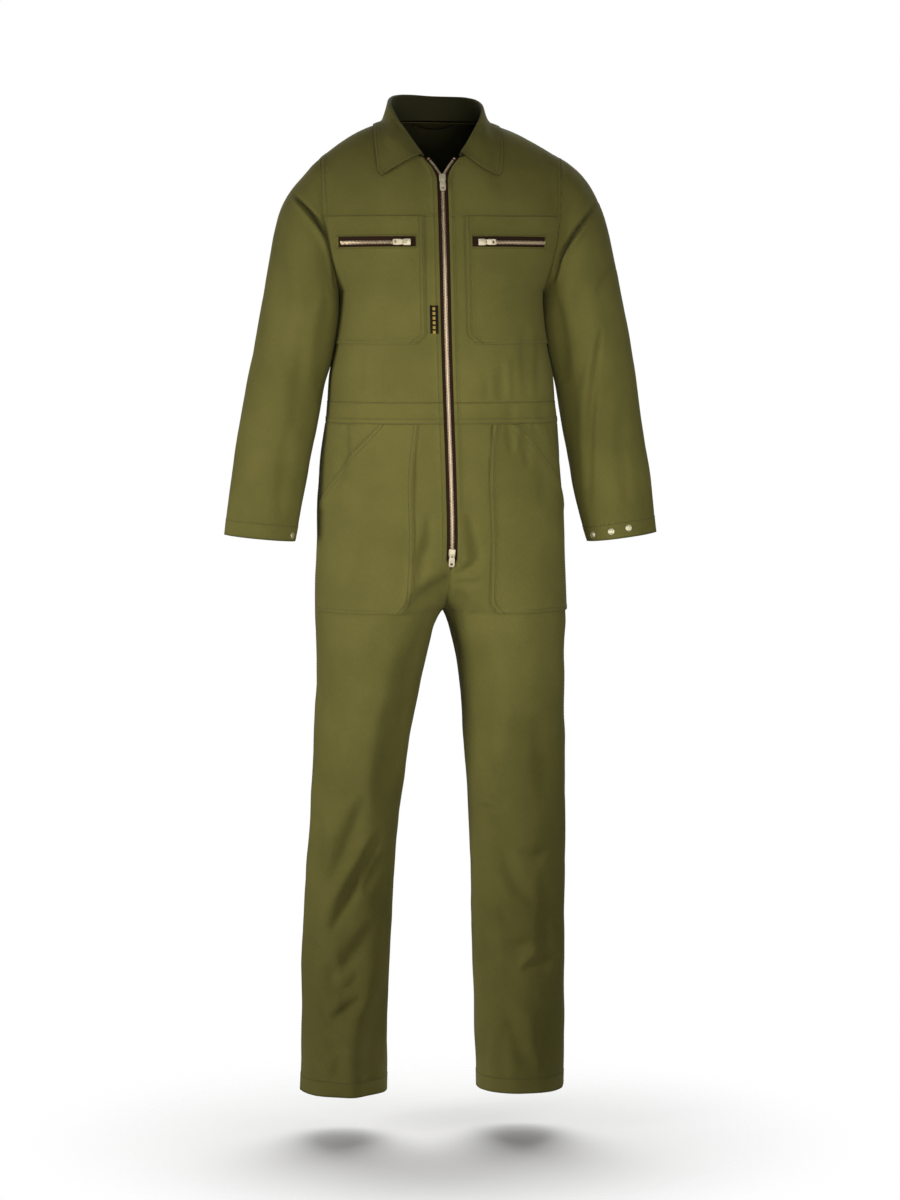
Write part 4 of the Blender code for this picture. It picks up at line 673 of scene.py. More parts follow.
def bodyPanel(side, half, zs, startAt, endAt, kinds, step, scales=None, extra=()):
    # rows of points between two distances along each section
    starts = np.array([startAt(z) for z in zs])
    ends = np.array([endAt(z) for z in zs])
    if scales is None:
        scales = np.ones((len(zs), 2))
    across = (kinds["start"], kinds["end"])
    count = countFor((ends - starts).max(), *across, step)
    return np.array([bodyRow(side, half, z, a + placesAcross(b - a, *across, count, both, extra))
                     for z, a, b, both in zip(zs, starts, ends, scales)])


def heightsUp(low, high, kinds, step):
    across = (kinds["low"], kinds["high"])
    return low + placesAcross(high - low, *across, countFor(high - low, *across, step))


def alongRows(points, kinds, step):
    # the same surface with its rows cut at the marks of the edges
    runs = np.array([runOf(row) for row in points])
    count = countFor(runs[:, -1].max(), *kinds, step)
    return np.array([alongLine(placesAcross(run[-1], *kinds, count), run, row)
                     for row, run in zip(points, runs)])


def recut(points, kinds, step):
    across = alongRows(points, (kinds["start"], kinds["end"]), step)
    upward = alongRows(across.transpose(1, 0, 2), (kinds["low"], kinds["high"]), step)
    return upward.transpose(1, 0, 2)


def relaxed(points, weight, times):
    # each inner point drawn towards the mean of its four neighbours
    for _ in range(times):
        mean = (points[:-2, 1:-1] + points[2:, 1:-1] + points[1:-1, :-2] + points[1:-1, 2:]) / 4
        points[1:-1, 1:-1] += weight[1:-1, 1:-1, None] * (mean - points[1:-1, 1:-1])
    return points


def gridNormals(points, outward):
    normals = unit(np.cross(np.gradient(points, axis=1), np.gradient(points, axis=0)))
    return normals if np.sum(normals * outward) > 0 else -normals


def gridRuns(points):
    # the lengths run so far across and up a grid
    across = np.linalg.norm(np.diff(points, axis=1), axis=-1)
    upward = np.linalg.norm(np.diff(points, axis=0), axis=-1)
    u = np.concatenate((np.zeros((len(points), 1)), np.cumsum(across, axis=1)), axis=1)
    v = np.concatenate((np.zeros((1, points.shape[1])), np.cumsum(upward, axis=0)), axis=0)
    return u, v


def gridQuads(index):
    corners = (index[:-1, :-1], index[:-1, 1:], index[1:, 1:], index[1:, :-1])
    return np.stack(corners, axis=-1).reshape(-1, 4)


def dressEdges(points, kinds, scales, masks):
    # height of the seam bands, and the distance to the nearest stitches
    u, v = gridRuns(points)
    away = {"start": u / scales[:, :1], "end": (u[:, -1:] - u) / scales[:, 1:], "low": v,
            "high": v[-1:] - v}
    height = np.zeros(u.shape)
    line = np.full(u.shape, noStitch)
    for edge, kind in kinds.items():
        shape = edgeKinds[kind]
        mask = masks.get(edge, np.ones(u.shape))
        distance = away[edge] / mm
        band = eased(-0.5, 0.5, shape["to"] - distance) * shape["raise"] * mm
        height += mask * (band - shape["dip"] * mm * np.exp(-(distance / 0.9) ** 2))
        for place in shape["lines"]:
            line = np.minimum(line, np.abs(distance - place) * mm + noStitch * (1 - mask))
    return height, line, u, v, away


def facesAway(quads, points, normals):
    # whether the middle quad runs the wrong way round for the normals
    middle = quads[len(quads) // 2]
    a, b, c = points.reshape(-1, 3)[middle[:3]]
    return np.cross(b - a, c - a) @ normals.reshape(-1, 3)[middle[0]] < 0


def linked(name, mesh, material):
    mesh.materials.append(material)
    piece = bpy.data.objects.new(name, mesh)
    bpy.context.scene.collection.objects.link(piece)
    return piece


def standsFor(piece, node, body="suit"):
    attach(piece, body)
    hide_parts(node)


def clothMesh(name, points, normals, line, runs, thickness, material, inside=0.0):
    # a shell: the grid, the same grid further in, and rims all round
    rows, columns, _ = points.shape
    count = rows * columns
    inner = points - normals * np.broadcast_to(thickness, (rows, columns))[..., None]
    vertices = np.concatenate((points.reshape(-1, 3), inner.reshape(-1, 3)))
    index = np.arange(count).reshape(rows, columns)
    outer = gridQuads(index)
    faces = [outer, outer[:, ::-1] + count]
    for rim in (index[0], index[:, -1], index[-1, ::-1], index[::-1, 0]):
        faces.append(np.stack((rim[1:], rim[:-1], rim[:-1] + count, rim[1:] + count), axis=-1))
    faces = np.concatenate(faces)
    if facesAway(outer, points, normals):
        faces = faces[:, ::-1]
    mesh = bpy.data.meshes.new(name)
    mesh.from_pydata(vertices.tolist(), [], faces.tolist())
    corners = np.empty(len(mesh.loops), dtype=np.int32)
    mesh.loops.foreach_get("vertex_index", corners)
    both = np.tile(np.stack(runs, axis=-1).reshape(-1, 2), (2, 1))
    mesh.uv_layers.new(name="cloth").data.foreach_set(
        "uv", both[corners].astype(np.float32).ravel())
    # painted shade: all of the inner face, and as much of the outer face as the mask gives
    dark = np.ones((2, rows, columns))
    dark[0] = inside
    for kind, values in (("line", np.tile(line.ravel(), 2)), ("inside", dark.ravel())):
        layer = mesh.attributes.new(kind, "FLOAT", "POINT")
        layer.data.foreach_set("value", values.astype(np.float32))
    mesh.polygons.foreach_set("use_smooth", np.ones(len(mesh.polygons), dtype=bool))
    mesh.update()
    mesh.set_sharp_from_angle(angle=math.radians(60))
    return linked(name, mesh, material)


def flatPiece(name, node, points, normals, look, material, runs=None):
    # a tape with no sewn edges of its own
    piece = clothMesh(name, points, normals, np.full(points.shape[:2], noStitch),
                      runs or gridRuns(points), look["thick"], material)
    standsFor(piece, node)
    return piece


# stitches: their ends are kept as they are sewn, and made into one piece at the end

stitchLook = {"length": 0.0031, "gap": 0.0013, "half": 0.00032, "proud": 0.00035}
stitchRows = []


def sew(points, normals):
    run = runOf(points)
    pitch = stitchLook["length"] + stitchLook["gap"]
    count = int(run[-1] / pitch)
    if count < 2:
        return
    starts = np.arange(count) * pitch + stitchLook["gap"] / 2
    stitchRows.append((alongLine(starts, run, points),
                       alongLine(starts + stitchLook["length"], run, points),
                       unit(alongLine(starts, run, normals))))


def sewEdges(points, normals, kinds, away, masks):
    for edge, kind in kinds.items():
        for place in edgeKinds[kind]["lines"]:
            miss = np.abs(away[edge] - place * mm)
            mask = masks.get(edge, np.ones(miss.shape))
            if edge in ("start", "end"):
                rows = np.flatnonzero(mask[:, 0] > 0.5)
                k = int(np.argmin(miss[rows[len(rows) // 2]]))
                sew(points[rows, k], normals[rows, k])
            else:
                columns = np.flatnonzero(mask[0] > 0.5)
                i = int(np.argmin(miss[:, columns[len(columns) // 2]]))
                sew(points[i, columns], normals[i, columns])


def makeStitches():
    # every stitch is a thin spindle of eight faces
    starts, ends, normals = (np.concatenate(rows) for rows in zip(*stitchRows))
    across = unit(np.cross(ends - starts, normals)) * stitchLook["half"]
    middle = (starts + ends) / 2
    top = normals * stitchLook["proud"]
    ring = np.stack((starts, middle + across + top / 3, middle + top, middle - across + top / 3,
                     middle - top / 2, ends), axis=1)
    shape = []
    for p, q in ((1, 2), (2, 3), (3, 4), (4, 1)):
        shape += [(0, p, q), (5, q, p)]
    faces = np.array(shape)[None] + 6 * np.arange(len(starts))[:, None, None]
    mesh = bpy.data.meshes.new("seam_stitches")
    mesh.from_pydata(ring.reshape(-1, 3).tolist(), [], faces.reshape(-1, 3).tolist())
    piece = linked("seam_stitches", mesh, thread)
    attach(piece, "suit")


# panels

shells = {}
clothThick = 0.0011
# painted shade along the hem's lower edge, and painted shadow along the collar's edges
rimShade = {"hem": 0.8, "hemTo": (0.2, 2.0), "collar": 0.7, "collarTo": (0.2, 1.6)}


def facingTo(side, half):
    # roughly where a side's panels face, to tell their outside from their inside
    return np.array((0.3 * side, half, 0.0))


def makePanel(name, points, outward, kinds, swells=bodySwells, masks=(), scales=None,
              calm=1.0, normals=None, lift=0.0, relief=(0.0, noStitch), thick=clothThick,
              inside=0.0):
    # one cut piece: its creases, its sewn edges, its shell and its stitches
    shape = points.shape[:2]
    masks = dict(masks)
    if normals is None:
        normals = gridNormals(points, outward)
    if scales is None:
        scales = np.ones((len(points), 2))
    flatPoints = points.reshape(-1, 3)
    flatNormals = normals.reshape(-1, 3)
    height, dark = foldHeights(flatPoints, flatNormals, name)
    height = (height + gatherHeights(flatPoints, flatNormals)
              + swellHeights(flatPoints, swells) * calmed(flatPoints, flatNormals))
    height = height.reshape(shape) * calm
    # the painted shade of the creases joins the panel's shade mask
    inside = np.maximum(inside, dark.reshape(shape))
    band, line, u, v, away = dressEdges(points, kinds, scales, masks)
    band = band + relief[0]
    line = np.minimum(line, relief[1])
    moved = points + normals * (height + band + lift)[..., None]
    thickness = np.full(shape, thick)
    for edge in ("low", "high"):
        if kinds[edge] == "hem":
            turned = edgeKinds["hem"]["to"] - away[edge] / mm
            thickness = thickness + clothThick * eased(-0.5, 0.5, turned)
            # the hem's lower edge painted in shade
            rim = 1 - eased(*rimShade["hemTo"], away[edge] / mm)
            inside = np.maximum(inside, rimShade["hem"] * rim)
    # the collar's edges painted dark, for the shadow they cast
    if "collar" in kinds.values():
        rim = np.minimum(away["high"], np.minimum(away["start"], away["end"]))
        rim = 1 - eased(*rimShade["collarTo"], rim / mm)
        inside = np.maximum(inside, rimShade["collar"] * rim)
    piece = clothMesh(name + "_cloth", moved, normals, line, (u, v), thickness, drill, inside)
    standsFor(piece, name)
    facing = gridNormals(moved, outward)
    sewEdges(moved, facing, kinds, away, masks)
    shells[name] = (moved, facing)


# creases in mm, x and z down each line, as the suit hangs

addFolds(front, "", (
    # left leg: long drags from the fork to the outer knee, then a zigzag over the shin
    (20, 9.0, -0.5, (-26, -768), (-54, -850), (-70, -930), (-84, -1010), (-98, -1090)),
    (12, 3.2, -0.5, (-83, -889), (-93, -953), (-100, -1026), (-112, -1078)),
    (16, 5.0, -0.4, (-149, -883), (-172, -943), (-190, -1021)),
    (12, 5.5, -0.6, (-128, -1056), (-146, -1108), (-166, -1160), (-188, -1214)),
    (10, 9.0, -0.8, (-100, -1114), (-124, -1164), (-149, -1212), (-168, -1250), (-182, -1280)),
    (9, 6.0, -0.4, (-92, -1150), (-113, -1186), (-130, -1216)),
    (14, 7.0, -0.5, (-112, -1262), (-147, -1318), (-188, -1356)),
    (8, 5.5, -0.9, (-134, -1384), (-160, -1406), (-182, -1424)),
    (7, 2.6, -0.6, (-140, -1340), (-148, -1362), (-172, -1376)),
    (19, -10.5, 0, (-108, -1320), (-128, -1386), (-144, -1424), (-148, -1470), (-149, -1530),
     (-149, -1572)),
    (19, 7.5, 0, (-96, -1370), (-110, -1440), (-113, -1520), (-113, -1620)),
    (8, 4.0, 0.7, (-206, -1398), (-186, -1418), (-166, -1432)),
    (7, 3.6, 0.7, (-198, -1450), (-178, -1464), (-156, -1468)),
    (9, 3.8, 0.6, (-212, -1296), (-192, -1322), (-176, -1352)),
    (8, 3.4, -0.6, (-196, -1330), (-180, -1362), (-158, -1380)),
    (9, 3.4, 0.4, (-206, -1090), (-200, -1140), (-204, -1196)),
    (9, 3.0, -0.5, (-166, -1470), (-170, -1500), (-184, -1524)),
    (8, 3.0, 0.5, (-214, -1490), (-200, -1514), (-172, -1530)),
    # right leg
    (18, 4.0, 0.4, (38, -800), (56, -868), (62, -944), (58, -1010)),
    (11, 5.0, -0.5, (58, -952), (65, -1011), (85, -1064), (100, -1082)),
    (5, 3.0, 0.7, (56, -1081), (72, -1083), (90, -1085)),
    (13, 7.5, -0.5, (76, -1096), (93, -1147), (108, -1196), (146, -1238)),
    (8, 5.5, 0.9, (122, -1346), (148, -1336), (176, -1318)),
    (13, 6.5, 0.4, (74, -1376), (104, -1424), (120, -1474), (148, -1500)),
    (18, 5.5, 0.4, (140, -930), (152, -1000), (160, -1070)),
    (11, 5.0, 0.3, (70, -1440), (61, -1484), (56, -1524)),
    (11, 5.0, -0.4, (168, -1404), (161, -1452), (164, -1516)),
    (12, 4.0, 0.4, (58, -1230), (66, -1300), (62, -1372)),
    (10, 4.4, -0.6, (60, -1176), (78, -1214), (100, -1266)),
    (12, 5.0, 0.5, (152, -1264), (166, -1308), (160, -1356)),
    (9, 3.6, 0.7, (92, -1292), (116, -1306), (142, -1300)),
    (10, 3.8, 0.5, (96, -1440), (90, -1480), (98, -1522)),
    (9, 3.2, 0.6, (112, -1150), (140, -1162), (170, -1150)),
    (12, 4.4, -0.4, (158, -1180), (166, -1240), (163, -1298)),
    # round the fork and the lower end of the zip
    (8, 6.0, -0.6, (31, -606), (38, -651), (42, -681), (27, -700), (8, -704)),
    (8, 4.4, -0.5, (-31, -606), (-34, -656), (-43, -683), (-46, -720)),
    (5, 3.2, 0.8, (8, -717), (30, -719), (56, -716)),
    (12, 7.0, -0.6, (4, -706), (-28, -734), (-66, -760)),
    (7, 4.5, 0.3, (-4, -704), (-7, -729), (-4, -754)),
    (8, 3.5, 0.5, (8, -730), (24, -748), (30, -772))))
# above and below the waistband
addFolds(front, "", [
    (width, depth, 0.3, (x, top), (x + 0.02 * (low - top), (top + low) / 2), (x, low))
    for x, top, low, width, depth in (
        (-96, -345, -432, 6, 2.2), (-137, -350, -432, 7, 2.2), (-118, -358, -430, 5, 1.6),
        (-80, -365, -430, 5, 1.3), (124, -312, -432, 8, 3.6), (84, -374, -434, 8, 3.8),
        (104, -362, -432, 6, 2.4), (146, -345, -430, 7, 2.6), (60, -390, -433, 5, 1.4),
        (100, -436, -469, 7, 2.2), (151, -436, -469, 8, 2.2), (-150, -436, -469, 6, 1.6))])
addFolds(front, "", (
    (6, 3.6, 0.4, (92, -472), (96, -492), (99, -518)),
    (6, 3.0, 0.4, (117, -474), (121, -505), (126, -540)),
    (10, 3.8, 0.3, (149, -536), (152, -566), (154, -602)),
    (6, 4.2, 0.4, (-158, -472), (-161, -500), (-165, -534)),
    (8, 4.6, 0.4, (-156, -502), (-163, -532), (-177, -576)),
    (6, 2.2, 0.4, (-126, -474), (-124, -500), (-121, -536))))
addGathers(front, (54, 88), -470, -36, 4.5, 2.0)
addGathers(front, (-174, -106), -470, -55, 8, 2.2)
addGathers(front, (92, 175), -470, -40, 9, 1.8)
# sleeves: the deep crease that starts on the upper arm and runs in under it
addFolds(front, "sleeve_left", (
    (3.7, 8.2, -0.6, (-243, -104), (-226, -124), (-208, -146), (-190, -172), (-178, -206),
     (-172, -262)),
    (15, 5.0, -0.4, (-262, -200), (-257, -300), (-253, -392)),
    (10, 4.6, -0.4, (-182, -270), (-190, -345), (-200, -420)),
    (16, 3.6, -0.4, (-228, -300), (-226, -380), (-240, -480)),
    (13, 3.4, 0.3, (-246, -470), (-254, -540), (-262, -620))))
addFolds(front, "sleeve_right", (
    (3.8, 8.4, 0.6, (250, -118), (221, -149), (197, -179), (181, -208), (172, -250)),
    (7, 4.6, 0.5, (276, -222), (257, -244), (240, -268)),
    (6, 5.0, -0.5, (248, -318), (238, -404), (232, -487), (230, -606)),
    (11, 5.0, 0.4, (178, -268), (186, -335), (194, -410)),
    (14, 3.4, 0.4, (212, -250), (208, -330), (216, -420)),
    (12, 3.0, 0.3, (286, -430), (282, -510), (290, -600))))
# hidden sides: elbows, seat, backs of the knees, shoulder blades
addFolds(back, "sleeve_left", (
    (9, 4.2, 0.4, (-208, -316), (-240, -350), (-266, -362)),
    (13, 6.4, -0.3, (-304, -352), (-272, -384), (-226, -394)),
    (8, 3.2, 0.4, (-236, -410), (-252, -444), (-286, -468))))
addFolds(back, "sleeve_right", (
    (12, 5.4, 0.4, (212, -320), (236, -360), (284, -374)),
    (9, 5.6, 0.3, (310, -382), (278, -404), (244, -402)),
    (10, 3.4, -0.3, (222, -404), (240, -452), (250, -496))))
addFolds(back, "", (
    (16, 5.0, 0.3, (-158, -180), (-128, -235), (-116, -310)),
    (13, 4.0, -0.3, (148, -200), (127, -264), (125, -350)),
    (9, 2.6, 0.3, (-58, -330), (-62, -385), (-60, -432)),
    (9, 3.0, 0.3, (44, -322), (50, -380), (46, -432)),
    (14, 4.6, 0.3, (-18, -628), (-62, -690), (-128, -728)),
    (11, 5.0, -0.3, (26, -644), (60, -704), (100, -738)),
    (15, 6.5, 0.4, (-56, -772), (-110, -800), (-176, -796)),
    (12, 5.2, 0.4, (50, -792), (98, -828), (152, -836)),
    (12, 6.0, 0.4, (-90, -1022), (-128, -1066), (-152, -1080)),
    (16, 7.0, 0.35, (-206, -1060), (-168, -1094), (-112, -1102)),
    (10, 4.0, 0.4, (-96, -1134), (-132, -1162), (-196, -1166)),
    (12, 3.4, -0.3, (-178, -1120), (-166, -1196), (-140, -1240)),
    (14, 6.4, 0.4, (52, -1032), (86, -1082), (138, -1100)),
    (11, 5.0, 0.4, (188, -1078), (158, -1122), (118, -1132)),
    (13, 4.4, 0.4, (58, -1126), (98, -1158), (178, -1152)),
    (12, 3.2, -0.3, (70, -1176), (84, -1240), (114, -1272)),
    (13, 5.0, 0.4, (-110, -1286), (-158, -1332), (-208, -1348)),
    (13, 5.0, 0.4, (70, -1300), (120, -1352), (182, -1372))))
addGathers(back, (-150, 150), -435, 60, 9, 2.6)
addGathers(back, (-150, 150), -470, -70, 9, 2.8)
print("creases laid out")


# fronts and yokes

bodiceStep = 0.0042
yokeGrid = {"across": 241, "up": 121}
backGrid = {"across": 211, "low": 145, "high": 101, "neckShare": 3 / 7, "step": 0.006}
cornerEvening = {"reach": 0.02, "times": 24}
chestPocket = {"edge": 0.032, "low": -0.346, "cornerX": 0.017, "cornerZ": 0.015,
               "outer": 0.955, "first": 0.014, "lift": 0.0015, "thick": 0.0010,
               "flat": (0.201, 0.208), "area": 0.0360}


def frontRow(side, z, xs):
    # points of the front at distances from the centre line
    return bodyRow(side, front, z, runAt(side, front, z, np.asarray(xs, dtype=float)))


def sideRun(side, half):
    return lambda z: runLength(side, half, z)


def frontPanel(side, zs, kinds):
    # from the front edge to the side seam
    return bodyPanel(side, front, zs, lambda z: runAt(side, front, z, slotEdge(z)),
                     sideRun(side, front), kinds, bodiceStep)


def bothHalves(halves):
    # the left half turned round and joined to the right one at the centre back
    return np.concatenate((halves[0][:, :0:-1], halves[1]), axis=1)


def armholeMask(points):
    # 1 where the edge is sewn to a sleeve, 0 on the side seam below it
    return eased(-0.272, -0.250, points[..., 2])


def upArmhole(side, half, count):
    # from the yoke seam up to the shoulder
    steps = np.arange(len(armhole["yokeTurns"]))
    turns = np.interp(np.linspace(0, steps[-1], count), steps, armhole["yokeTurns"])
    return armholePoints(side, half, turns)


def makeFront(side):
    kinds = {"start": "zip", "end": "armhole", "low": "plain", "high": "plain"}
    zs = heightsUp(level["waistTop"], level["yoke"], kinds, bodiceStep)
    points = frontPanel(side, zs, kinds)
    makePanel("front_" + sideNames[side], points, facingTo(side, front), kinds,
              masks={"end": armholeMask(points)})


def makeYoke(side):
    z = level["yoke"]
    whole = runLength(side, front, z)
    pocketEnd = runAt(side, front, z, chestPocket["edge"] + chestPocket["first"])
    stops = np.concatenate(((runAt(side, front, z, slotEdge(z)),
                             runAt(side, front, z, chestPocket["edge"])),
                            np.linspace(pocketEnd, chestPocket["outer"] * whole, 6), (whole,)))
    c = np.linspace(0, 1, yokeGrid["across"])
    s = np.linspace(0, 1, yokeGrid["up"])
    bottom = bodyRow(side, front, z, np.interp(c * (len(stops) - 1), np.arange(len(stops)), stops))
    top = np.where(c[:, None] <= 0.5, neckPoints(side, 2 - 2 * np.minimum(c, 0.5)),
                   shoulderPoints(side, 2 * np.maximum(c, 0.5) - 1))
    heights = z + (neck["front"][2] - z) * np.sin(math.pi / 2 * s)
    inner = np.array([frontRow(side, height, [slotEdge(height)])[0] for height in heights])
    inner[-1] = top[0]
    kinds = {"start": "zip", "end": "armhole", "low": "single", "high": "plain"}
    points = blendEdges(bottom, top, inner, upArmhole(side, front, len(s)))
    points = recut(points, kinds, bodiceStep)
    # the neck point is an inward corner, so the grid is evened out beside it
    fromCorner = np.linalg.norm(points - neckPoints(side, 1.0), axis=-1)
    points = relaxed(points, np.exp(-(fromCorner / cornerEvening["reach"]) ** 2),
                     cornerEvening["times"])
    makePanel("yoke_front_" + sideNames[side], points, facingTo(side, front), kinds)


def backHalf(side):
    c = np.linspace(0, 1, backGrid["across"])
    s = np.linspace(0, 1, backGrid["high"])
    low = [bodyRow(side, back, z, c * runLength(side, back, z))
           for z in np.linspace(level["waistTop"], level["yoke"], backGrid["low"])]
    bend = backGrid["neckShare"]
    top = np.where(c[:, None] <= bend, neckPoints(side, np.minimum(c / bend, 1)),
                   shoulderPoints(side, np.clip((c - bend) / (1 - bend), 0, 1)))
    inner = low[-1][0] + (top[0] - low[-1][0]) * quarterTurn(s)
    high = blendEdges(low[-1], top, inner, upArmhole(side, back, len(s)))
    return np.concatenate((np.array(low), high[1:]))


def makeBack():
    kinds = {"start": "armhole", "end": "armhole", "low": "plain", "high": "plain"}
    points = recut(bothHalves([backHalf(side) for side in (left, right)]), kinds,
                   backGrid["step"])
    mask = armholeMask(points)
    makePanel("back", points, facingTo(0, back), kinds,
              masks={"start": mask, "end": mask})


for side in (left, right):
    makeFront(side)
    makeYoke(side)
makeBack()
print("fronts, yokes and back sewn")


# waistband

waistband = {"up": 0.003, "backStep": 0.0048, "backCount": 150,
             "front": {"flat": (0.2475, 0.0358), "area": 0.0088},
             "back": {"flat": (0.484, 0.0358), "area": 0.0171}}


def makeWaistbands():
    kinds = {"start": "zip", "end": "plain", "low": "felled", "high": "single"}
    zs = heightsUp(level["waistLow"], level["waistTop"], kinds, waistband["up"])
    for side in (left, right):
        makePanel("waistband_front_" + sideNames[side], frontPanel(side, zs, kinds),
                  facingTo(side, front), kinds)
    kinds = dict(kinds, start="plain")
    shares = np.linspace(0, 1, waistband["backCount"])
    halves = [np.array([bodyRow(side, back, z, shares * runLength(side, back, z)) for z in zs])
              for side in (left, right)]
    points = alongRows(bothHalves(halves), ("plain", "plain"), waistband["backStep"])
    makePanel("waistband_back", points, facingTo(0, back), kinds)


makeWaistbands()


# legs

legPart = {front: {"name": "leg_front_", "start": "zip", "end": "felled", "step": 0.0045,
                   "flat": (0.343, 1.161), "area": 0.2840},
           back: {"name": "leg_back_", "start": "plain", "end": "plain", "step": 0.0068,
                  "flat": (0.348, 1.172), "area": 0.2855}}
forkRise = np.array((0.2, 0.6, 1.2, 2.2, 3.6, 5.4, 7.8, 10.5, 14, 18, 23)) * mm
tapeCover = 0.008     # the cloth closes over the tape's end, under the bottom pull


def makeLegPanel(side, half):
    look = legPart[half]
    kinds = {"start": look["start"], "end": look["end"], "low": "hem", "high": "plain"}
    zs = heightsUp(level["hem"], level["waistLow"], kinds, look["step"])
    fork = level["fork"] + forkRise
    zs = np.sort(np.concatenate((zs[(zs < fork[0] - 0.001) | (zs > fork[-1] + 0.002)], fork)))

    def startAt(z):
        edge = slotEdge(z - tapeCover) if half == front else 0.0
        return runAt(side, half, z, edge) if edge > 0 else 0.0

    points = bodyPanel(side, half, zs, startAt, sideRun(side, half), kinds, look["step"])
    normals = gridNormals(points, facingTo(side, half))
    # where two legs meet in the middle, both swell straight ahead
    above = eased(level["fork"] - 0.001, level["fork"] + 0.004, zs)[:, None]
    normals[..., 0] *= 1 - above * (1 - eased(0.0, 0.03, np.abs(points[..., 0])))
    makePanel(look["name"] + sideNames[side], points, facingTo(side, half), kinds,
              swells=legSwells, normals=unit(normals),
              masks={"start": eased(-0.695, -0.686, points[..., 2])})


for side in (left, right):
    makeLegPanel(side, front)
    makeLegPanel(side, back)
print("legs sewn")


# sleeves

sleeve = {"power": 2.1, "around": 150, "rings": 260, "blendRows": 4, "blendPower": 1.5,
          "step": 0.0031, "calmFrom": (0.0005, 0.012), "flat": (0.613, 0.631), "area": 0.2098}


def sleeveRings(side):
    # from the underarm seam round the front, over the outside and back
    turns = np.linspace(180, 0, sleeve["around"])
    ways = np.concatenate((turns, turns[-2::-1]))
    halfs = np.where(np.arange(len(ways)) < len(turns), front, back)
    hole = np.where(halfs[:, None] == front, armholePoints(side, front, ways),
                    armholePoints(side, back, ways))
    cos = np.cos(np.radians(ways))
    sin = np.maximum(0.0, np.sin(np.radians(ways)))
    bent = np.sign(cos) * np.abs(cos) ** (2 / sleeve["power"])
    deep = halfs * sin ** (2 / sleeve["power"])
    table = sleeveRows[side]
    places = np.arange(len(table), dtype=float)
    rings = []
    for step in np.linspace(0, len(table) - 1, sleeve["rings"]):
        outX, outZ, inX, inZ, middleY, depth = smoothCurve(places, table, step)
        outer = np.array((side * outX, middleY, outZ))
        inner = np.array((side * inX, middleY, inZ))
        ring = ((outer + inner) / 2 + (outer - inner) / 2 * bent[:, None]
                + np.array((0, depth, 0)) * deep[:, None])
        if step == 0:
            change = hole - ring
        blend = max(0.0, 1 - step / sleeve["blendRows"]) ** sleeve["blendPower"]
        rings.append(ring + change * blend)
    return np.array(rings)


def makeSleeve(side):
    kinds = {"start": "plain", "end": "felled", "low": "cut", "high": "hem"}
    points = recut(sleeveRings(side), kinds, sleeve["step"])
    outward = points - points.mean(axis=1, keepdims=True)
    makePanel("sleeve_" + sideNames[side], points, outward, kinds, swells=sleeveSwells,
              calm=eased(*sleeve["calmFrom"], gridRuns(points)[1]))


for side in (left, right):
    makeSleeve(side)
print("sleeves sewn")


# patch pockets

chestWindow = {"x": {left: (0.0445, 0.1615), right: (0.0435, 0.1605)},
               "middle": chestZipZ + 0.0014, "half": 0.0080, "lip": 0.0022, "lipReach": 0.007,
               "lipEdge": 0.0003, "stitch": 0.0022, "rows": (0.4, 1.0, 1.8, 2.6),
               "columns": (-1.6, -0.8, -0.3, 0.3, 0.8, 1.6), "apart": 0.0006}
thighPocket = {"low": level["fork"], "cornerX": 0.014, "cornerZ": 0.015, "slantX": 0.110,
               "slantLow": -0.612, "outer": 0.93, "lift": 0.0015, "thick": 0.0010,
               "edge": {left: np.array(((level["waistLow"], 0.048), (-0.540, 0.058),
                                        (-0.650, 0.060), (level["fork"], 0.061))),
                        right: np.array(((level["waistLow"], 0.067), (-0.540, 0.061),
                                         (-0.650, 0.061), (level["fork"], 0.064)))},
               "gape": 0.0014, "gapeReach": 0.012, "gapeLow": (-0.615, -0.600),
               "gapeHigh": (-0.490, -0.472), "flat": (0.197, 0.356), "area": 0.0479}


def cornerCut(pocket, z):
    # how far a rounded or cut corner has drawn the edge in, 1 at the bottom
    return pocket["cornerX"] * min(1.0, max(0.0, 1 - (z - pocket["low"]) / pocket["cornerZ"]))


def slopeScales(zs, startAt, endAt):
    # how much longer a slanted edge's marks are along the rows than square to it
    slopes = [np.gradient(np.array([at(z) for z in zs]), zs) for at in (startAt, endAt)]
    return np.sqrt(1 + np.minimum(np.array(slopes).T ** 2, 1.1))


def makePatch(name, side, pocket, kinds, zs, startAt, endAt, reliefOf, extra=()):
    scales = slopeScales(zs, startAt, endAt)
    points = bodyPanel(side, front, zs, startAt, endAt, kinds, bodiceStep, scales, extra)
    makePanel(name + sideNames[side], points, facingTo(side, front), kinds,
              lift=pocket["lift"], scales=scales, relief=reliefOf(points),
              thick=pocket["thick"])


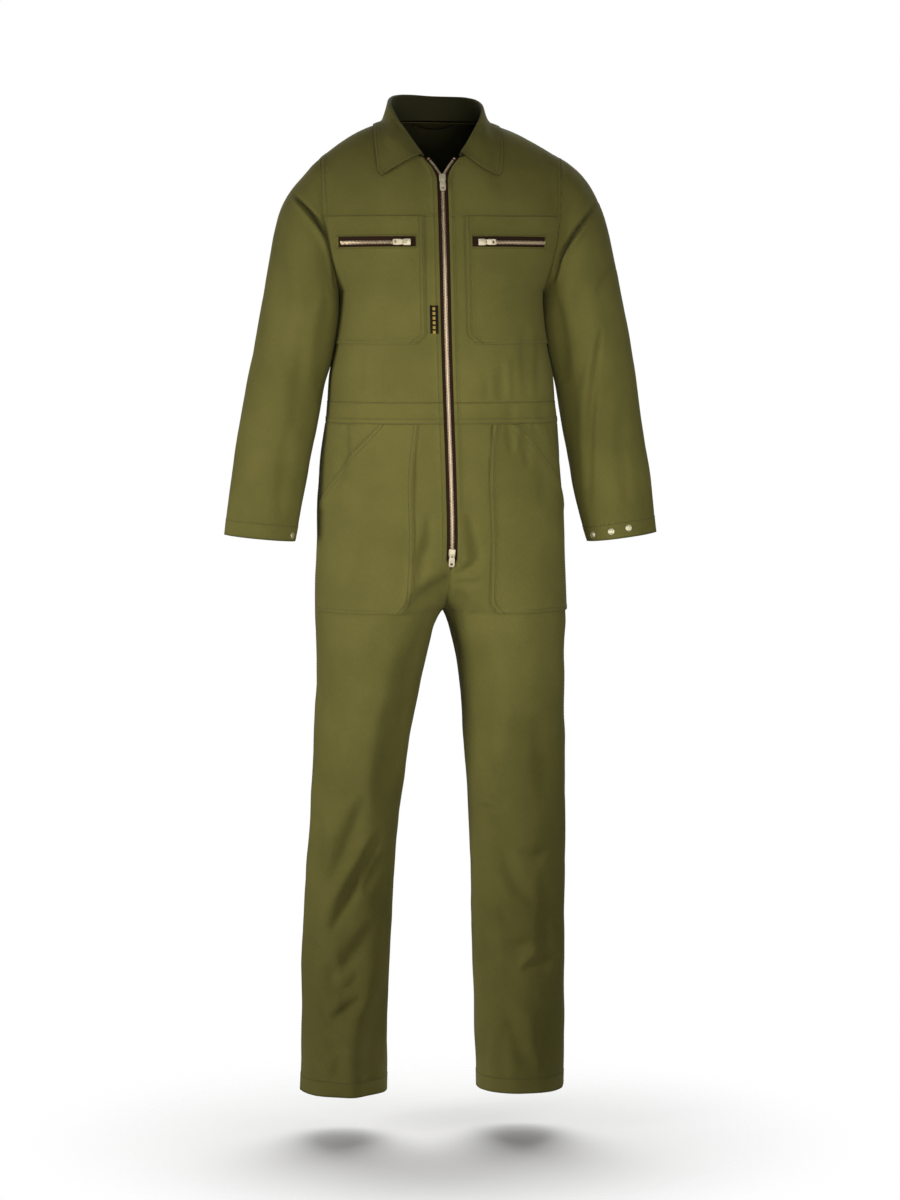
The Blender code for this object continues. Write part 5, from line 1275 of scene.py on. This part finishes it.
def makeChestPocket(side):
    pocket = chestPocket
    window = chestWindow
    x0, x1 = window["x"][side]

    def startAt(z):
        return runAt(side, front, z, pocket["edge"] + cornerCut(pocket, z))

    def endAt(z):
        return pocket["outer"] * runLength(side, front, z)

    def reliefOf(points):
        # the zip lies in a window whose lips stand proud of its tape
        x = side * (points[..., 0] - frontLean(points[..., 2]))
        aside = np.maximum(x0 - x, x - x1)
        above = np.abs(points[..., 2] - window["middle"]) - window["half"]
        away = np.where((aside > 0) & (above > 0), np.hypot(aside, above),
                        np.maximum(aside, above))
        lip = (eased(-window["lipEdge"], window["lipEdge"], away)
               * np.exp(-np.maximum(away, 0) / window["lipReach"]))
        return window["lip"] * lip, np.abs(away - window["stitch"])

    kinds = {"start": "patch", "end": "cut", "low": "patch", "high": "cut"}
    steps = np.array(window["rows"])
    steps = np.concatenate((-steps[::-1], (0,), steps)) * mm
    rows = (window["middle"] + window["half"] * np.array((-1, 1))[:, None] + steps).ravel()
    zs = heightsUp(pocket["low"], level["yoke"] - 0.0004, kinds, bodiceStep)
    apart = np.abs(zs[:, None] - rows[None]).min(axis=1)
    zs = np.sort(np.concatenate((zs[apart > window["apart"]], rows)))
    ends = np.array([runAt(side, front, chestZipZ, x) for x in (x0, x1)]) - startAt(chestZipZ)
    extra = (ends[:, None] + np.array(window["columns"]) * mm).ravel()
    makePatch("chest_pocket_", side, pocket, kinds, zs, startAt, endAt, reliefOf, extra)


def makeThighPocket(side):
    pocket = thighPocket
    high = level["waistLow"]
    edge = pocket["edge"][side]

    def startAt(z):
        x = smoothCurve(edge[:, 0], edge[:, 1], z) + cornerCut(pocket, z)
        return runAt(side, front, z, x)

    def endAt(z):
        top = runAt(side, front, high, pocket["slantX"]) / runLength(side, front, high)
        drop = (high - z) / (high - pocket["slantLow"])
        share = top + (pocket["outer"] - top) * min(1.0, max(0.0, drop))
        return share * runLength(side, front, z)

    def reliefOf(points):
        # the slanted opening stands a little off the leg
        u, _ = gridRuns(points)
        slanted = (eased(*pocket["gapeLow"], points[..., 2])
                   * (1 - eased(*pocket["gapeHigh"], points[..., 2])))
        gape = slanted * np.exp(-((u[:, -1:] - u) / pocket["gapeReach"]) ** 2)
        return pocket["gape"] * gape, noStitch

    kinds = {"start": "patch", "end": "patch", "low": "patch", "high": "cut"}
    zs = heightsUp(pocket["low"], high - 0.0008, kinds, bodiceStep)
    makePatch("thigh_pocket_", side, pocket, kinds, zs, startAt, endAt, reliefOf)


for side in (left, right):
    makeChestPocket(side)
    makeThighPocket(side)
print("pockets sewn")


# collar: one folded piece, stand inside and fall outside, laid on the back and the yokes

collarRows = {
    # way from the centre back, the roll's x, y, z and the edge's x, y, z
    right: np.array((
        (0, 0, 0.073, 0.0475, 0, 0.094, -0.004),
        (0.5, 0.053, 0.056, 0.0465, 0.060, 0.076, -0.004),
        (1, 0.0705, 0.004, 0.032, 0.091, 0.010, -0.004),
        (1.33, 0.066, -0.030, 0.012, 0.0945, -0.030, -0.024),
        (1.66, 0.050, -0.062, -0.015, 0.0950, -0.070, -0.058),
        (2, 0.0280, -0.090, -0.049, 0.0920, -0.100, -0.088))),
    left: np.array((
        (0, 0, 0.073, 0.0475, 0, 0.094, -0.004),
        (0.5, 0.053, 0.056, 0.0465, 0.060, 0.076, -0.004),
        (1, 0.0710, 0.004, 0.032, 0.094, 0.010, -0.006),
        (1.33, 0.066, -0.030, 0.012, 0.0970, -0.030, -0.024),
        (1.66, 0.050, -0.062, -0.016, 0.0992, -0.070, -0.058),
        (2, 0.0280, -0.090, -0.0515, 0.0990, -0.100, -0.088)))}
collar = {"roll": 0.0030, "turns": (0, 30, 60, 90, 120, 150), "hug": 0.014, "hugSpread": 0.4,
          "bulge": 0.002, "tilt": 0.0045, "tiltUntil": 1.4, "foot": 0.0020,
          "stand": (0, 0.35, 0.7), "falls": (0.24, 0.42, 0.60, 0.80), "ahead": (1.15, 1.7),
          "lift": (0.0024, 0.0064), "clear": (0.0036, 0.0064), "apart": 0.0038, "near": 0.012,
          "tip": 0.07, "tipFrom": 1.9, "droop": {left: 0.0025, right: 0.010}, "droopFrom": 1.6,
          "centreZ": -0.05, "thick": 0.0016, "flat": (0.585, 0.106), "area": 0.0430}
# all in rows, columns or times, but the step
collarGrid = {"stations": 181, "profile": 61, "step": 0.0032, "evened": 3, "relaxed": 3,
              "fixedRows": (3, 6), "edgeRows": 8, "fixedColumns": (8, 12), "outerRows": 20,
              "crestEvened": 60, "inside": (-2.5, 0.5), "insideEnds": (6, 16)}
collarEnd = 2.0       # the way from the centre back to the front edge


def surfaceTree(*names):
    # a search tree over the outer faces of finished panels
    vertices = []
    faces = []
    for name in names:
        points, facing = shells[name]
        quads = gridQuads(np.arange(points.size // 3).reshape(points.shape[:2]))
        if facesAway(quads, points, facing):
            quads = quads[:, ::-1]
        faces += (quads + len(vertices)).tolist()
        vertices += [Vector(p) for p in points.reshape(-1, 3)]
    return BVHTree.FromPolygons(vertices, faces)


def laid(tree, point, clearance, onlyIfLower=False):
    # the point moved to stand clear of the surface beneath it
    place, normal, _, distance = tree.find_nearest(Vector(point))
    above = (Vector(point) - place).dot(normal)
    if onlyIfLower and (above >= clearance or distance > collar["near"] or normal.z < 0):
        return np.array(point), np.array(normal)
    return np.array(place + normal * clearance), np.array(normal)


def collarTable():
    # the table's rows for both sides, by way from the centre back, left is below 0
    mirrored = collarRows[left][:0:-1] * np.array((-1, -1, 1, 1, -1, 1, 1))
    return np.concatenate((mirrored, collarRows[right]))


def evened(rows, times):
    # a mean of neighbours along the rows, the first and last kept
    for _ in range(times):
        rows[1:-1] = rows[1:-1] / 2 + (rows[:-2] + rows[2:]) / 4
    return rows


def collarStation(tree, table, way):
    # the foot and the stand, the turn over the roll, and the fall down to the edge
    side = right if way >= 0 else left
    far = abs(way)
    up = np.array((0.0, 0.0, 1.0))
    shift = np.array((neck["shift"], 0.0, 0.0))
    values = smoothCurve(table[:, 0], table[:, 1:], way)
    roll = values[:3] + shift
    roll[2] -= collar["tilt"] * way * max(0.0, collar["tiltUntil"] - far)
    # flat on the shoulders, standing off at the points, whose tips are rounded
    ahead = eased(*collar["ahead"], far)
    lift, clear = (low + (high - low) * ahead for low, high in (collar["lift"], collar["clear"]))
    tip = values[3:] + shift
    tip += (roll - tip) * collar["tip"] * eased(collar["tipFrom"], collarEnd, far) ** 2
    edge, _ = laid(tree, tip, lift)
    out = unit((edge - roll) * (1, 1, 0))
    turned = [roll + collar["roll"] * (out * (1 - math.cos(a)) + up * math.sin(a))
              for a in np.radians(collar["turns"])]
    beyond, _ = laid(tree, roll + out * 2 * collar["roll"], clear, True)
    seam = neckPoints(side, far)
    foot = seam + unit(roll - seam) * collar["foot"]
    upward = unit(roll - foot)
    square = unit(out - upward * out.dot(upward))
    hug = collar["hug"] * math.exp(-((far - 1) / collar["hugSpread"]) ** 2) - collar["bulge"]
    droop = collar["droop"][side] * eased(collar["droopFrom"], collarEnd, far)
    fall = []
    for share in collar["falls"]:
        sag = (hug + droop) * math.sin(math.pi * share)
        point = beyond + (edge - beyond) * share - up * sag
        # the fall hangs clear of the stand behind it
        point += square * max(0.0, collar["apart"] - (point - foot).dot(square))
        fall.append(laid(tree, point, clear * (1 - share) + lift * share, True)[0])
    stand = [foot + (roll - foot) * share for share in collar["stand"]]
    return [*stand, *turned, beyond, *fall, edge]


def makeCollar():
    grid = collarGrid
    tree = surfaceTree("back", "yoke_front_left", "yoke_front_right")
    table = collarTable()
    ways = np.linspace(-collarEnd, collarEnd, grid["stations"])
    stations = evened(np.array([collarStation(tree, table, way) for way in ways]), grid["evened"])
    # a smooth profile through each station's points
    rows = stations.transpose(1, 0, 2)
    runs = np.arange(len(rows), dtype=float)
    dense = np.array([smoothCurve(runs, rows, at)
                      for at in np.linspace(0, runs[-1], grid["profile"])])
    kinds = {"start": "collar", "end": "collar", "low": "cut", "high": "collar"}
    points = recut(dense, kinds, grid["step"])
    row = np.arange(points.shape[0])
    column = np.arange(points.shape[1])
    fromEnd = np.minimum(column, column[::-1])
    smooth = (eased(*grid["fixedRows"], np.minimum(row, row[::-1] - grid["edgeRows"]))[:, None]
              * eased(*grid["fixedColumns"], fromEnd))
    points = relaxed(points, 0.5 * smooth, grid["relaxed"])
    outward = np.zeros_like(points)
    last = slice(-grid["outerRows"], None)
    outward[last] = points[last] - np.array((neck["shift"], 0.0, collar["centreZ"]))
    # the stand inside the neck is painted in shade
    crest = evened(np.argmax(points[..., 2], axis=0).astype(float), grid["crestEvened"])
    inside = ((1 - eased(*grid["inside"], row[:, None] - crest))
              * eased(*grid["insideEnds"], fromEnd))
    makePanel("collar", points, outward, kinds, swells=collarSwells, inside=inside,
              thick=collar["thick"])


makeCollar()
print("collar laid")


# zips

teeth = {"across": 0.0037, "along": 0.00125, "high": 0.0015, "pitch": 0.0023, "reach": 0.0031,
         "neck": 0.72, "round": 0.00025, "look": 0.001}
mainZip = {"top": -0.0546, "low": -0.7040, "step": 0.003, "columns": 7, "apart": 0.0001,
           "least": 0.002, "under": 0.0030, "sink": 0.0004, "outerSink": 0.0012,
           "sinkFrom": 0.4, "openTop": -0.0590, "openLow": -0.0825, "openPoints": 20,
           "chainTop": -0.0885, "chainLow": -0.6725, "chainPoints": 300, "thick": 0.0006,
           "flat": (0.013, 0.655), "area": 0.0070}
chestZip = {"inner": 0.0428, "outer": 0.1630, "middle": 0.0014, "half": 0.0090,
            "columns": 40, "rows": 9, "chainRow": 3, "rise": 0.0024, "chainInner": 0.0560,
            "short": 0.0022, "chainPoints": 60, "thick": 0.0006, "flat": (0.0180, 0.124),
            "area": 0.00215}
metalEdges = {"stop": 0.0004, "slider": 0.0003, "pull": 0.00022, "merge": 0.00001}


def clearSelection():
    bpy.ops.object.select_all(action="DESELECT")


def activate(piece):
    clearSelection()
    piece.select_set(True)
    bpy.context.view_layer.objects.active = piece


def makeTooth():
    # one clamped tooth: a rounded block, its head narrower than its foot
    clearSelection()
    bpy.ops.mesh.primitive_cube_add(size=1)
    tooth = bpy.context.object
    tooth.scale = (teeth["across"], teeth["along"], teeth["high"])
    bpy.ops.object.transform_apply(scale=True)
    bpy.ops.object.mode_set(mode="EDIT")
    bpy.ops.mesh.select_all(action="DESELECT")
    bpy.ops.object.mode_set(mode="OBJECT")
    for face in tooth.data.polygons:
        face.select = face.normal.x < -0.5
    bpy.ops.object.mode_set(mode="EDIT")
    bpy.ops.transform.resize(value=(1, teeth["neck"], teeth["neck"]))
    bpy.ops.mesh.select_all(action="SELECT")
    bpy.ops.mesh.bevel(offset=teeth["round"], segments=1, affect="EDGES")
    bpy.ops.object.mode_set(mode="OBJECT")
    return tooth


def copiesOf(name, source, frames, material, node):
    # one mesh of many copies, each placed by origin, across, along and up
    shape = np.array([v.co for v in source.data.vertices])
    faces = [list(face.vertices) for face in source.data.polygons]
    vertices = [origin + shape @ np.array(axes) for origin, *axes in frames]
    allFaces = [[v + number * len(shape) for v in face]
                for number in range(len(frames)) for face in faces]
    mesh = bpy.data.meshes.new(name)
    mesh.from_pydata(np.concatenate(vertices).tolist(), [], allFaces)
    piece = linked(name, mesh, material)
    activate(piece)
    bpy.ops.object.shade_smooth_by_angle(angle=math.radians(40))
    standsFor(piece, node)


def toothFrames(points, normals, side, phase):
    # frames along a line of points, the teeth of one side at half-pitch steps
    run = runOf(points)
    places = np.arange(phase * teeth["pitch"], run[-1], teeth["pitch"])
    ahead = unit(alongLine(np.minimum(places + teeth["look"], run[-1]), run, points)
                 - alongLine(np.maximum(places - teeth["look"], 0), run, points))
    up = unit(alongLine(places, run, normals))
    across = unit(np.cross(ahead, up)) * side
    return list(zip(alongLine(places, run, points), across, ahead, up))


def teethDown(side, xs, zs, phase):
    # frames down one front edge at distances from the centre line, proud of the sunk tape
    xs = np.broadcast_to(xs, len(zs))
    points, beside = np.array([frontRow(side, z, (x, x + 0.002))
                               for z, x in zip(zs, xs)]).transpose(1, 0, 2)
    normals = unit(np.cross(np.gradient(points, axis=0), beside - points) * side)
    normals[normals[:, 1] > 0] *= -1
    lifted = points + normals * (teeth["high"] / 2 - mainZip["sink"])
    return toothFrames(lifted, normals, side, phase)


def makeMainZip(tooth):
    shares = np.linspace(0, 1, mainZip["columns"])
    openZs = np.linspace(mainZip["openTop"], mainZip["openLow"], mainZip["openPoints"])
    openXs = [chainLine(z) + teeth["across"] * 0.5 for z in openZs]
    for side in (left, right):
        name = "zip_tape_" + sideNames[side]
        rows = []
        for z in np.arange(mainZip["top"], mainZip["low"], -mainZip["step"]):
            inner = chainLine(z) + mainZip["apart"]
            outer = slotEdge(z) + (0.0 if z > level["yoke"] else mainZip["under"])
            wide = max(outer - inner, mainZip["least"])
            rows.append(frontRow(side, z, inner + wide * shares))
        points = np.array(rows)
        normals = gridNormals(points, facingTo(side, front))
        sunk = mainZip["sink"] + mainZip["outerSink"] * eased(mainZip["sinkFrom"], 1.0, shares)
        flatPiece(name + "_woven", name, points - normals * sunk[:, None], normals, mainZip,
                  zipTape, gridRuns(points))
        # the teeth that stand open above the top slider
        copiesOf("open_teeth_" + sideNames[side], tooth, teethDown(side, openXs, openZs, 0.5),
                 toothBrass, "zip_teeth_" + sideNames[side])
    zs = np.linspace(mainZip["chainTop"], mainZip["chainLow"], mainZip["chainPoints"])
    x = teeth["reach"] - teeth["across"] / 2
    frames = teethDown(left, x, zs, 0.25) + teethDown(right, x, zs, 0.75)
    copiesOf("closed_teeth", tooth, frames, toothBrass, "zip_chain")


def makeChestZip(side, tooth):
    name = "chest_zip_tape_" + sideNames[side]
    xs = np.linspace(chestZip["inner"], chestZip["outer"], chestZip["columns"])
    zs = (chestZipZ + chestZip["middle"]
          + chestZip["half"] * np.linspace(-1, 1, chestZip["rows"]))
    points = np.array([frontRow(side, z, xs) for z in zs])
    normals = gridNormals(points, facingTo(side, front))
    points = points + normals * chestZip["rise"]
    flatPiece(name + "_woven", name, points, normals, chestZip, zipTape,
              gridRuns(points)[::-1])
    last = chestWindow["x"][side][1] - chestZip["short"]
    along = np.linspace(chestZip["chainInner"], last, chestZip["chainPoints"])
    facing = alongLine(along, xs, normals[chestZip["chainRow"]])
    frames = []
    for half, phase in ((-1, 0.25), (1, 0.75)):
        line = frontRow(side, chestZipZ + half * (teeth["reach"] - teeth["across"] / 2), along)
        lifted = line + facing * (chestZip["rise"] + teeth["high"] / 2)
        frames += toothFrames(lifted, facing, half * side, phase)
    copiesOf("chest_teeth_" + sideNames[side], tooth, frames, toothBrass,
             "chest_zip_chain_" + sideNames[side])


def roundEdges(piece, width, segments, angle):
    rounding = piece.modifiers.new("rounding", "BEVEL")
    rounding.width = width
    rounding.segments = segments
    rounding.limit_method = "ANGLE"
    rounding.angle_limit = math.radians(angle)
    bpy.ops.object.modifier_apply(modifier="rounding")


def finishedCopy(node, name, bevel, material, body="suit"):
    # a CAD part's own shape, its doubles merged, its flat faces joined and its edges rounded
    piece = bpy.data.objects[node].copy()
    piece.data = piece.data.copy()
    piece.name = name
    piece.hide_render = False
    piece.data.materials.clear()
    piece.data.materials.append(material)
    bpy.context.scene.collection.objects.link(piece)
    activate(piece)
    bpy.ops.object.mode_set(mode="EDIT")
    bpy.ops.mesh.select_all(action="SELECT")
    bpy.ops.mesh.remove_doubles(threshold=metalEdges["merge"])
    bpy.ops.mesh.dissolve_limited(angle_limit=math.radians(4))
    bpy.ops.object.mode_set(mode="OBJECT")
    roundEdges(piece, bevel, 3, 35)
    bpy.ops.object.shade_smooth_by_angle(angle=math.radians(35))
    standsFor(piece, node, body)


tooth = makeTooth()
makeMainZip(tooth)
for side in (left, right):
    makeChestZip(side, tooth)
    finishedCopy("zip_stop_" + sideNames[side], "top_stop_" + sideNames[side],
                 metalEdges["stop"], toothBrass)
bpy.data.objects.remove(tooth)
for place in ("top", "bottom", "chest_left", "chest_right"):
    finishedCopy("slider_" + place, "slider_body_" + place, metalEdges["slider"], sliderBrass)
    finishedCopy("pull_" + place, "pull_tab_" + place, metalEdges["pull"], sliderBrass,
                 "pull_" + place)
print("zips closed")


# press studs, tab and loop

stud = {"radius": 0.0053, "rim": 0.0007, "sink": 0.0002, "round": 0.00018,
        "rings": ((0.0007, 0.0005), (0.0004, -0.0003), (0.0005, 0.0005), (0.0013, 0.0004),
                  (0.0012, 0.0001))}
tab = {"x": (0.0120, 0.0250), "z": (-0.3285, -0.2845), "rows": 24, "columns": 9,
       "rise": 0.0010, "thick": 0.0007, "flat": (0.0131, 0.0441), "area": 0.000576}
loop = {"half": 0.033, "below": 0.004, "drop": 0.0085, "tape": 0.0052, "lean": 0.0003,
        "rows": 6, "columns": 61, "rise": 0.0012, "thick": 0.0009, "flat": (0.0710, 0.0110),
        "area": 0.00038}


def makeStud():
    # a stamped cap: rim, groove and low dome, made by insetting and lifting its top
    clearSelection()
    bpy.ops.mesh.primitive_cylinder_add(vertices=40, radius=stud["radius"], depth=stud["rim"],
                                        location=(0, 0, stud["rim"] / 2))
    cap = bpy.context.object
    bpy.ops.object.transform_apply(location=True)
    for face in cap.data.polygons:
        face.select = face.normal.z > 0.9
    for edge in cap.data.edges:
        edge.select = False
    for vertex in cap.data.vertices:
        vertex.select = vertex.co.z > stud["rim"] / 2
    bpy.ops.object.mode_set(mode="EDIT")
    for inset, rise in stud["rings"]:
        bpy.ops.mesh.inset(thickness=inset, depth=0)
        bpy.ops.transform.translate(value=(0, 0, rise))
    bpy.ops.object.mode_set(mode="OBJECT")
    roundEdges(cap, stud["round"], 2, 25)
    return cap


def makeStuds():
    cap = makeStud()
    for side in (left, right):
        tree = surfaceTree("sleeve_" + sideNames[side])
        for number in (1, 2, 3):
            name = "%s_%d" % (sideNames[side], number)
            low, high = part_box("cuff_snap_" + name)
            place, normal = laid(tree, (Vector(low) + Vector(high)) / 2, -stud["sink"])
            along = unit(np.cross((1.0, 0.0, 0.0), normal))
            frames = [(place, unit(np.cross(along, normal)), along, normal)]
            copiesOf("stud_" + name, cap, frames, studBrass, "cuff_snap_" + name)
    bpy.data.objects.remove(cap)


def makeTab():
    tree = surfaceTree("front_left")
    rows = [[laid(tree, point, tab["rise"])
             for point in frontRow(left, z, np.linspace(*tab["x"], tab["columns"]))]
            for z in np.linspace(*tab["z"], tab["rows"])]
    points, normals = np.array(rows).transpose(2, 0, 1, 3)
    flatPiece("woven_tab", "label_tab", evened(points, 4), unit(normals), tab, tabTape)


def makeLoop():
    t = np.linspace(-1, 1, loop["columns"])
    x = neck["shift"] / 2 + loop["half"] * t
    y = neck["back"][0] * np.sqrt(1 - (loop["half"] * t / neck["side"][0]) ** 2) + loop["rise"]
    top = neck["back"][1] - loop["below"] - loop["drop"] * (1 - t * t)
    down = np.linspace(0, 1, loop["rows"])[:, None]
    points = np.stack((np.broadcast_to(x, (len(down), len(t))), y + loop["lean"] * down,
                       top - loop["tape"] * down), axis=-1)
    # its face looks forward, out of the neck
    normals = gridNormals(points, facingTo(0, front))
    flatPiece("loop_tape", "hanger_loop", points, normals, loop, loopTape)


makeStuds()
makeTab()
makeLoop()
makeStitches()
print("trims and stitches done")


# camera and light

lamps = {
    "key": {"place": (-2.10, -1.05, -0.72), "target": (0.0, 0, -0.78), "size": 0.8,
            "power": 6.9, "spread": 84, "colour": (1.0, 0.985, 0.965)},
    "side": {"place": (1.60, -1.60, -0.62), "target": (0.10, 0, -0.72), "size": 0.9,
             "power": 2.0, "spread": 82, "colour": (1.0, 0.99, 0.98)},
    "low": {"place": (0.05, -1.45, -0.50), "target": (0, 0, -0.50), "size": 0.6,
            "power": 1.75, "spread": 70, "colour": (1.0, 0.99, 0.98)},
    "top": {"place": (-0.30, -1.05, 0.75), "target": (0, -0.05, -0.20), "size": 0.45,
            "power": 0.10, "spread": 70, "colour": (1.0, 0.99, 0.98)},
    "wash": {"place": (0.2, 1.7, 0.3), "target": (0, 0.1, -1.6), "size": 2.2, "power": 30,
             "spread": 120, "colour": (1.0, 1.0, 1.0)}}
studio = {"sky": 0.07, "floor": -1.62, "floorSize": 6, "paper": "#ffffff", "near": 0.10,
          "far": 0.70}
view = {"lens": 112.86, "sensor": 36, "place": (-0.6129, -5.9686, -0.2748), "pitch": 85.426,
        "turn": -6}


def addLamp(name, values):
    data = bpy.data.lights.new(name, "AREA")
    data.energy = values["power"]
    data.size = values["size"]
    data.spread = math.radians(values["spread"])
    data.color = values["colour"]
    lamp = bpy.data.objects.new(name, data)
    bpy.context.scene.collection.objects.link(lamp)
    lamp.location = values["place"]
    aim = Vector(values["target"]) - lamp.location
    lamp.rotation_euler = aim.to_track_quat("-Z", "Y").to_euler()


def makeStudio():
    for name, values in lamps.items():
        addLamp(name + "_light", values)
    world = bpy.data.worlds.new("white_studio")
    world.use_nodes = True
    sky = world.node_tree
    seen = addNode(sky, "LightPath").outputs["Is Camera Ray"]
    # the far wall is lit to white, and the room gives the suit far less light than that
    bright = addNode(sky, "MapRange", {"Value": seen, "To Min": studio["sky"], "To Max": 1.0})
    fill(sky, sky.nodes["Background"], {"Color": (1, 1, 1, 1),
                                        "Strength": bright.outputs["Result"]})
    bpy.context.scene.world = world
    clearSelection()
    bpy.ops.mesh.primitive_plane_add(size=studio["floorSize"],
                                     location=(0, 0, studio["floor"]))
    floor = bpy.context.object
    floor.name = "pale_floor"
    paper, tree, shader = newMaterial("matt_paper")
    place = addNode(tree, "TexCoord").outputs["Object"]
    away = addNode(tree, "VectorMath", {"operation": "LENGTH", 0: place})
    fade = addNode(tree, "MapRange", {
        "interpolation_type": "SMOOTHSTEP", "Value": away.outputs["Value"],
        "From Min": studio["near"], "From Max": studio["far"], "To Min": 1.0, "To Max": 0.0})
    fill(tree, shader, {"Roughness": 0.9, "Base Color": linear(studio["paper"]),
                        "Alpha": fade.outputs["Result"]})
    floor.data.materials.append(paper)
    eye = bpy.data.cameras.new("front_camera")
    eye.lens = view["lens"]
    eye.sensor_width = view["sensor"]
    camera = bpy.data.objects.new("front_camera", eye)
    camera.location = view["place"]
    camera.rotation_euler = (math.radians(view["pitch"]), 0, math.radians(view["turn"]))
    bpy.context.scene.collection.objects.link(camera)
    bpy.context.scene.camera = camera
    bpy.context.scene.view_settings.view_transform = "Standard"


makeStudio()
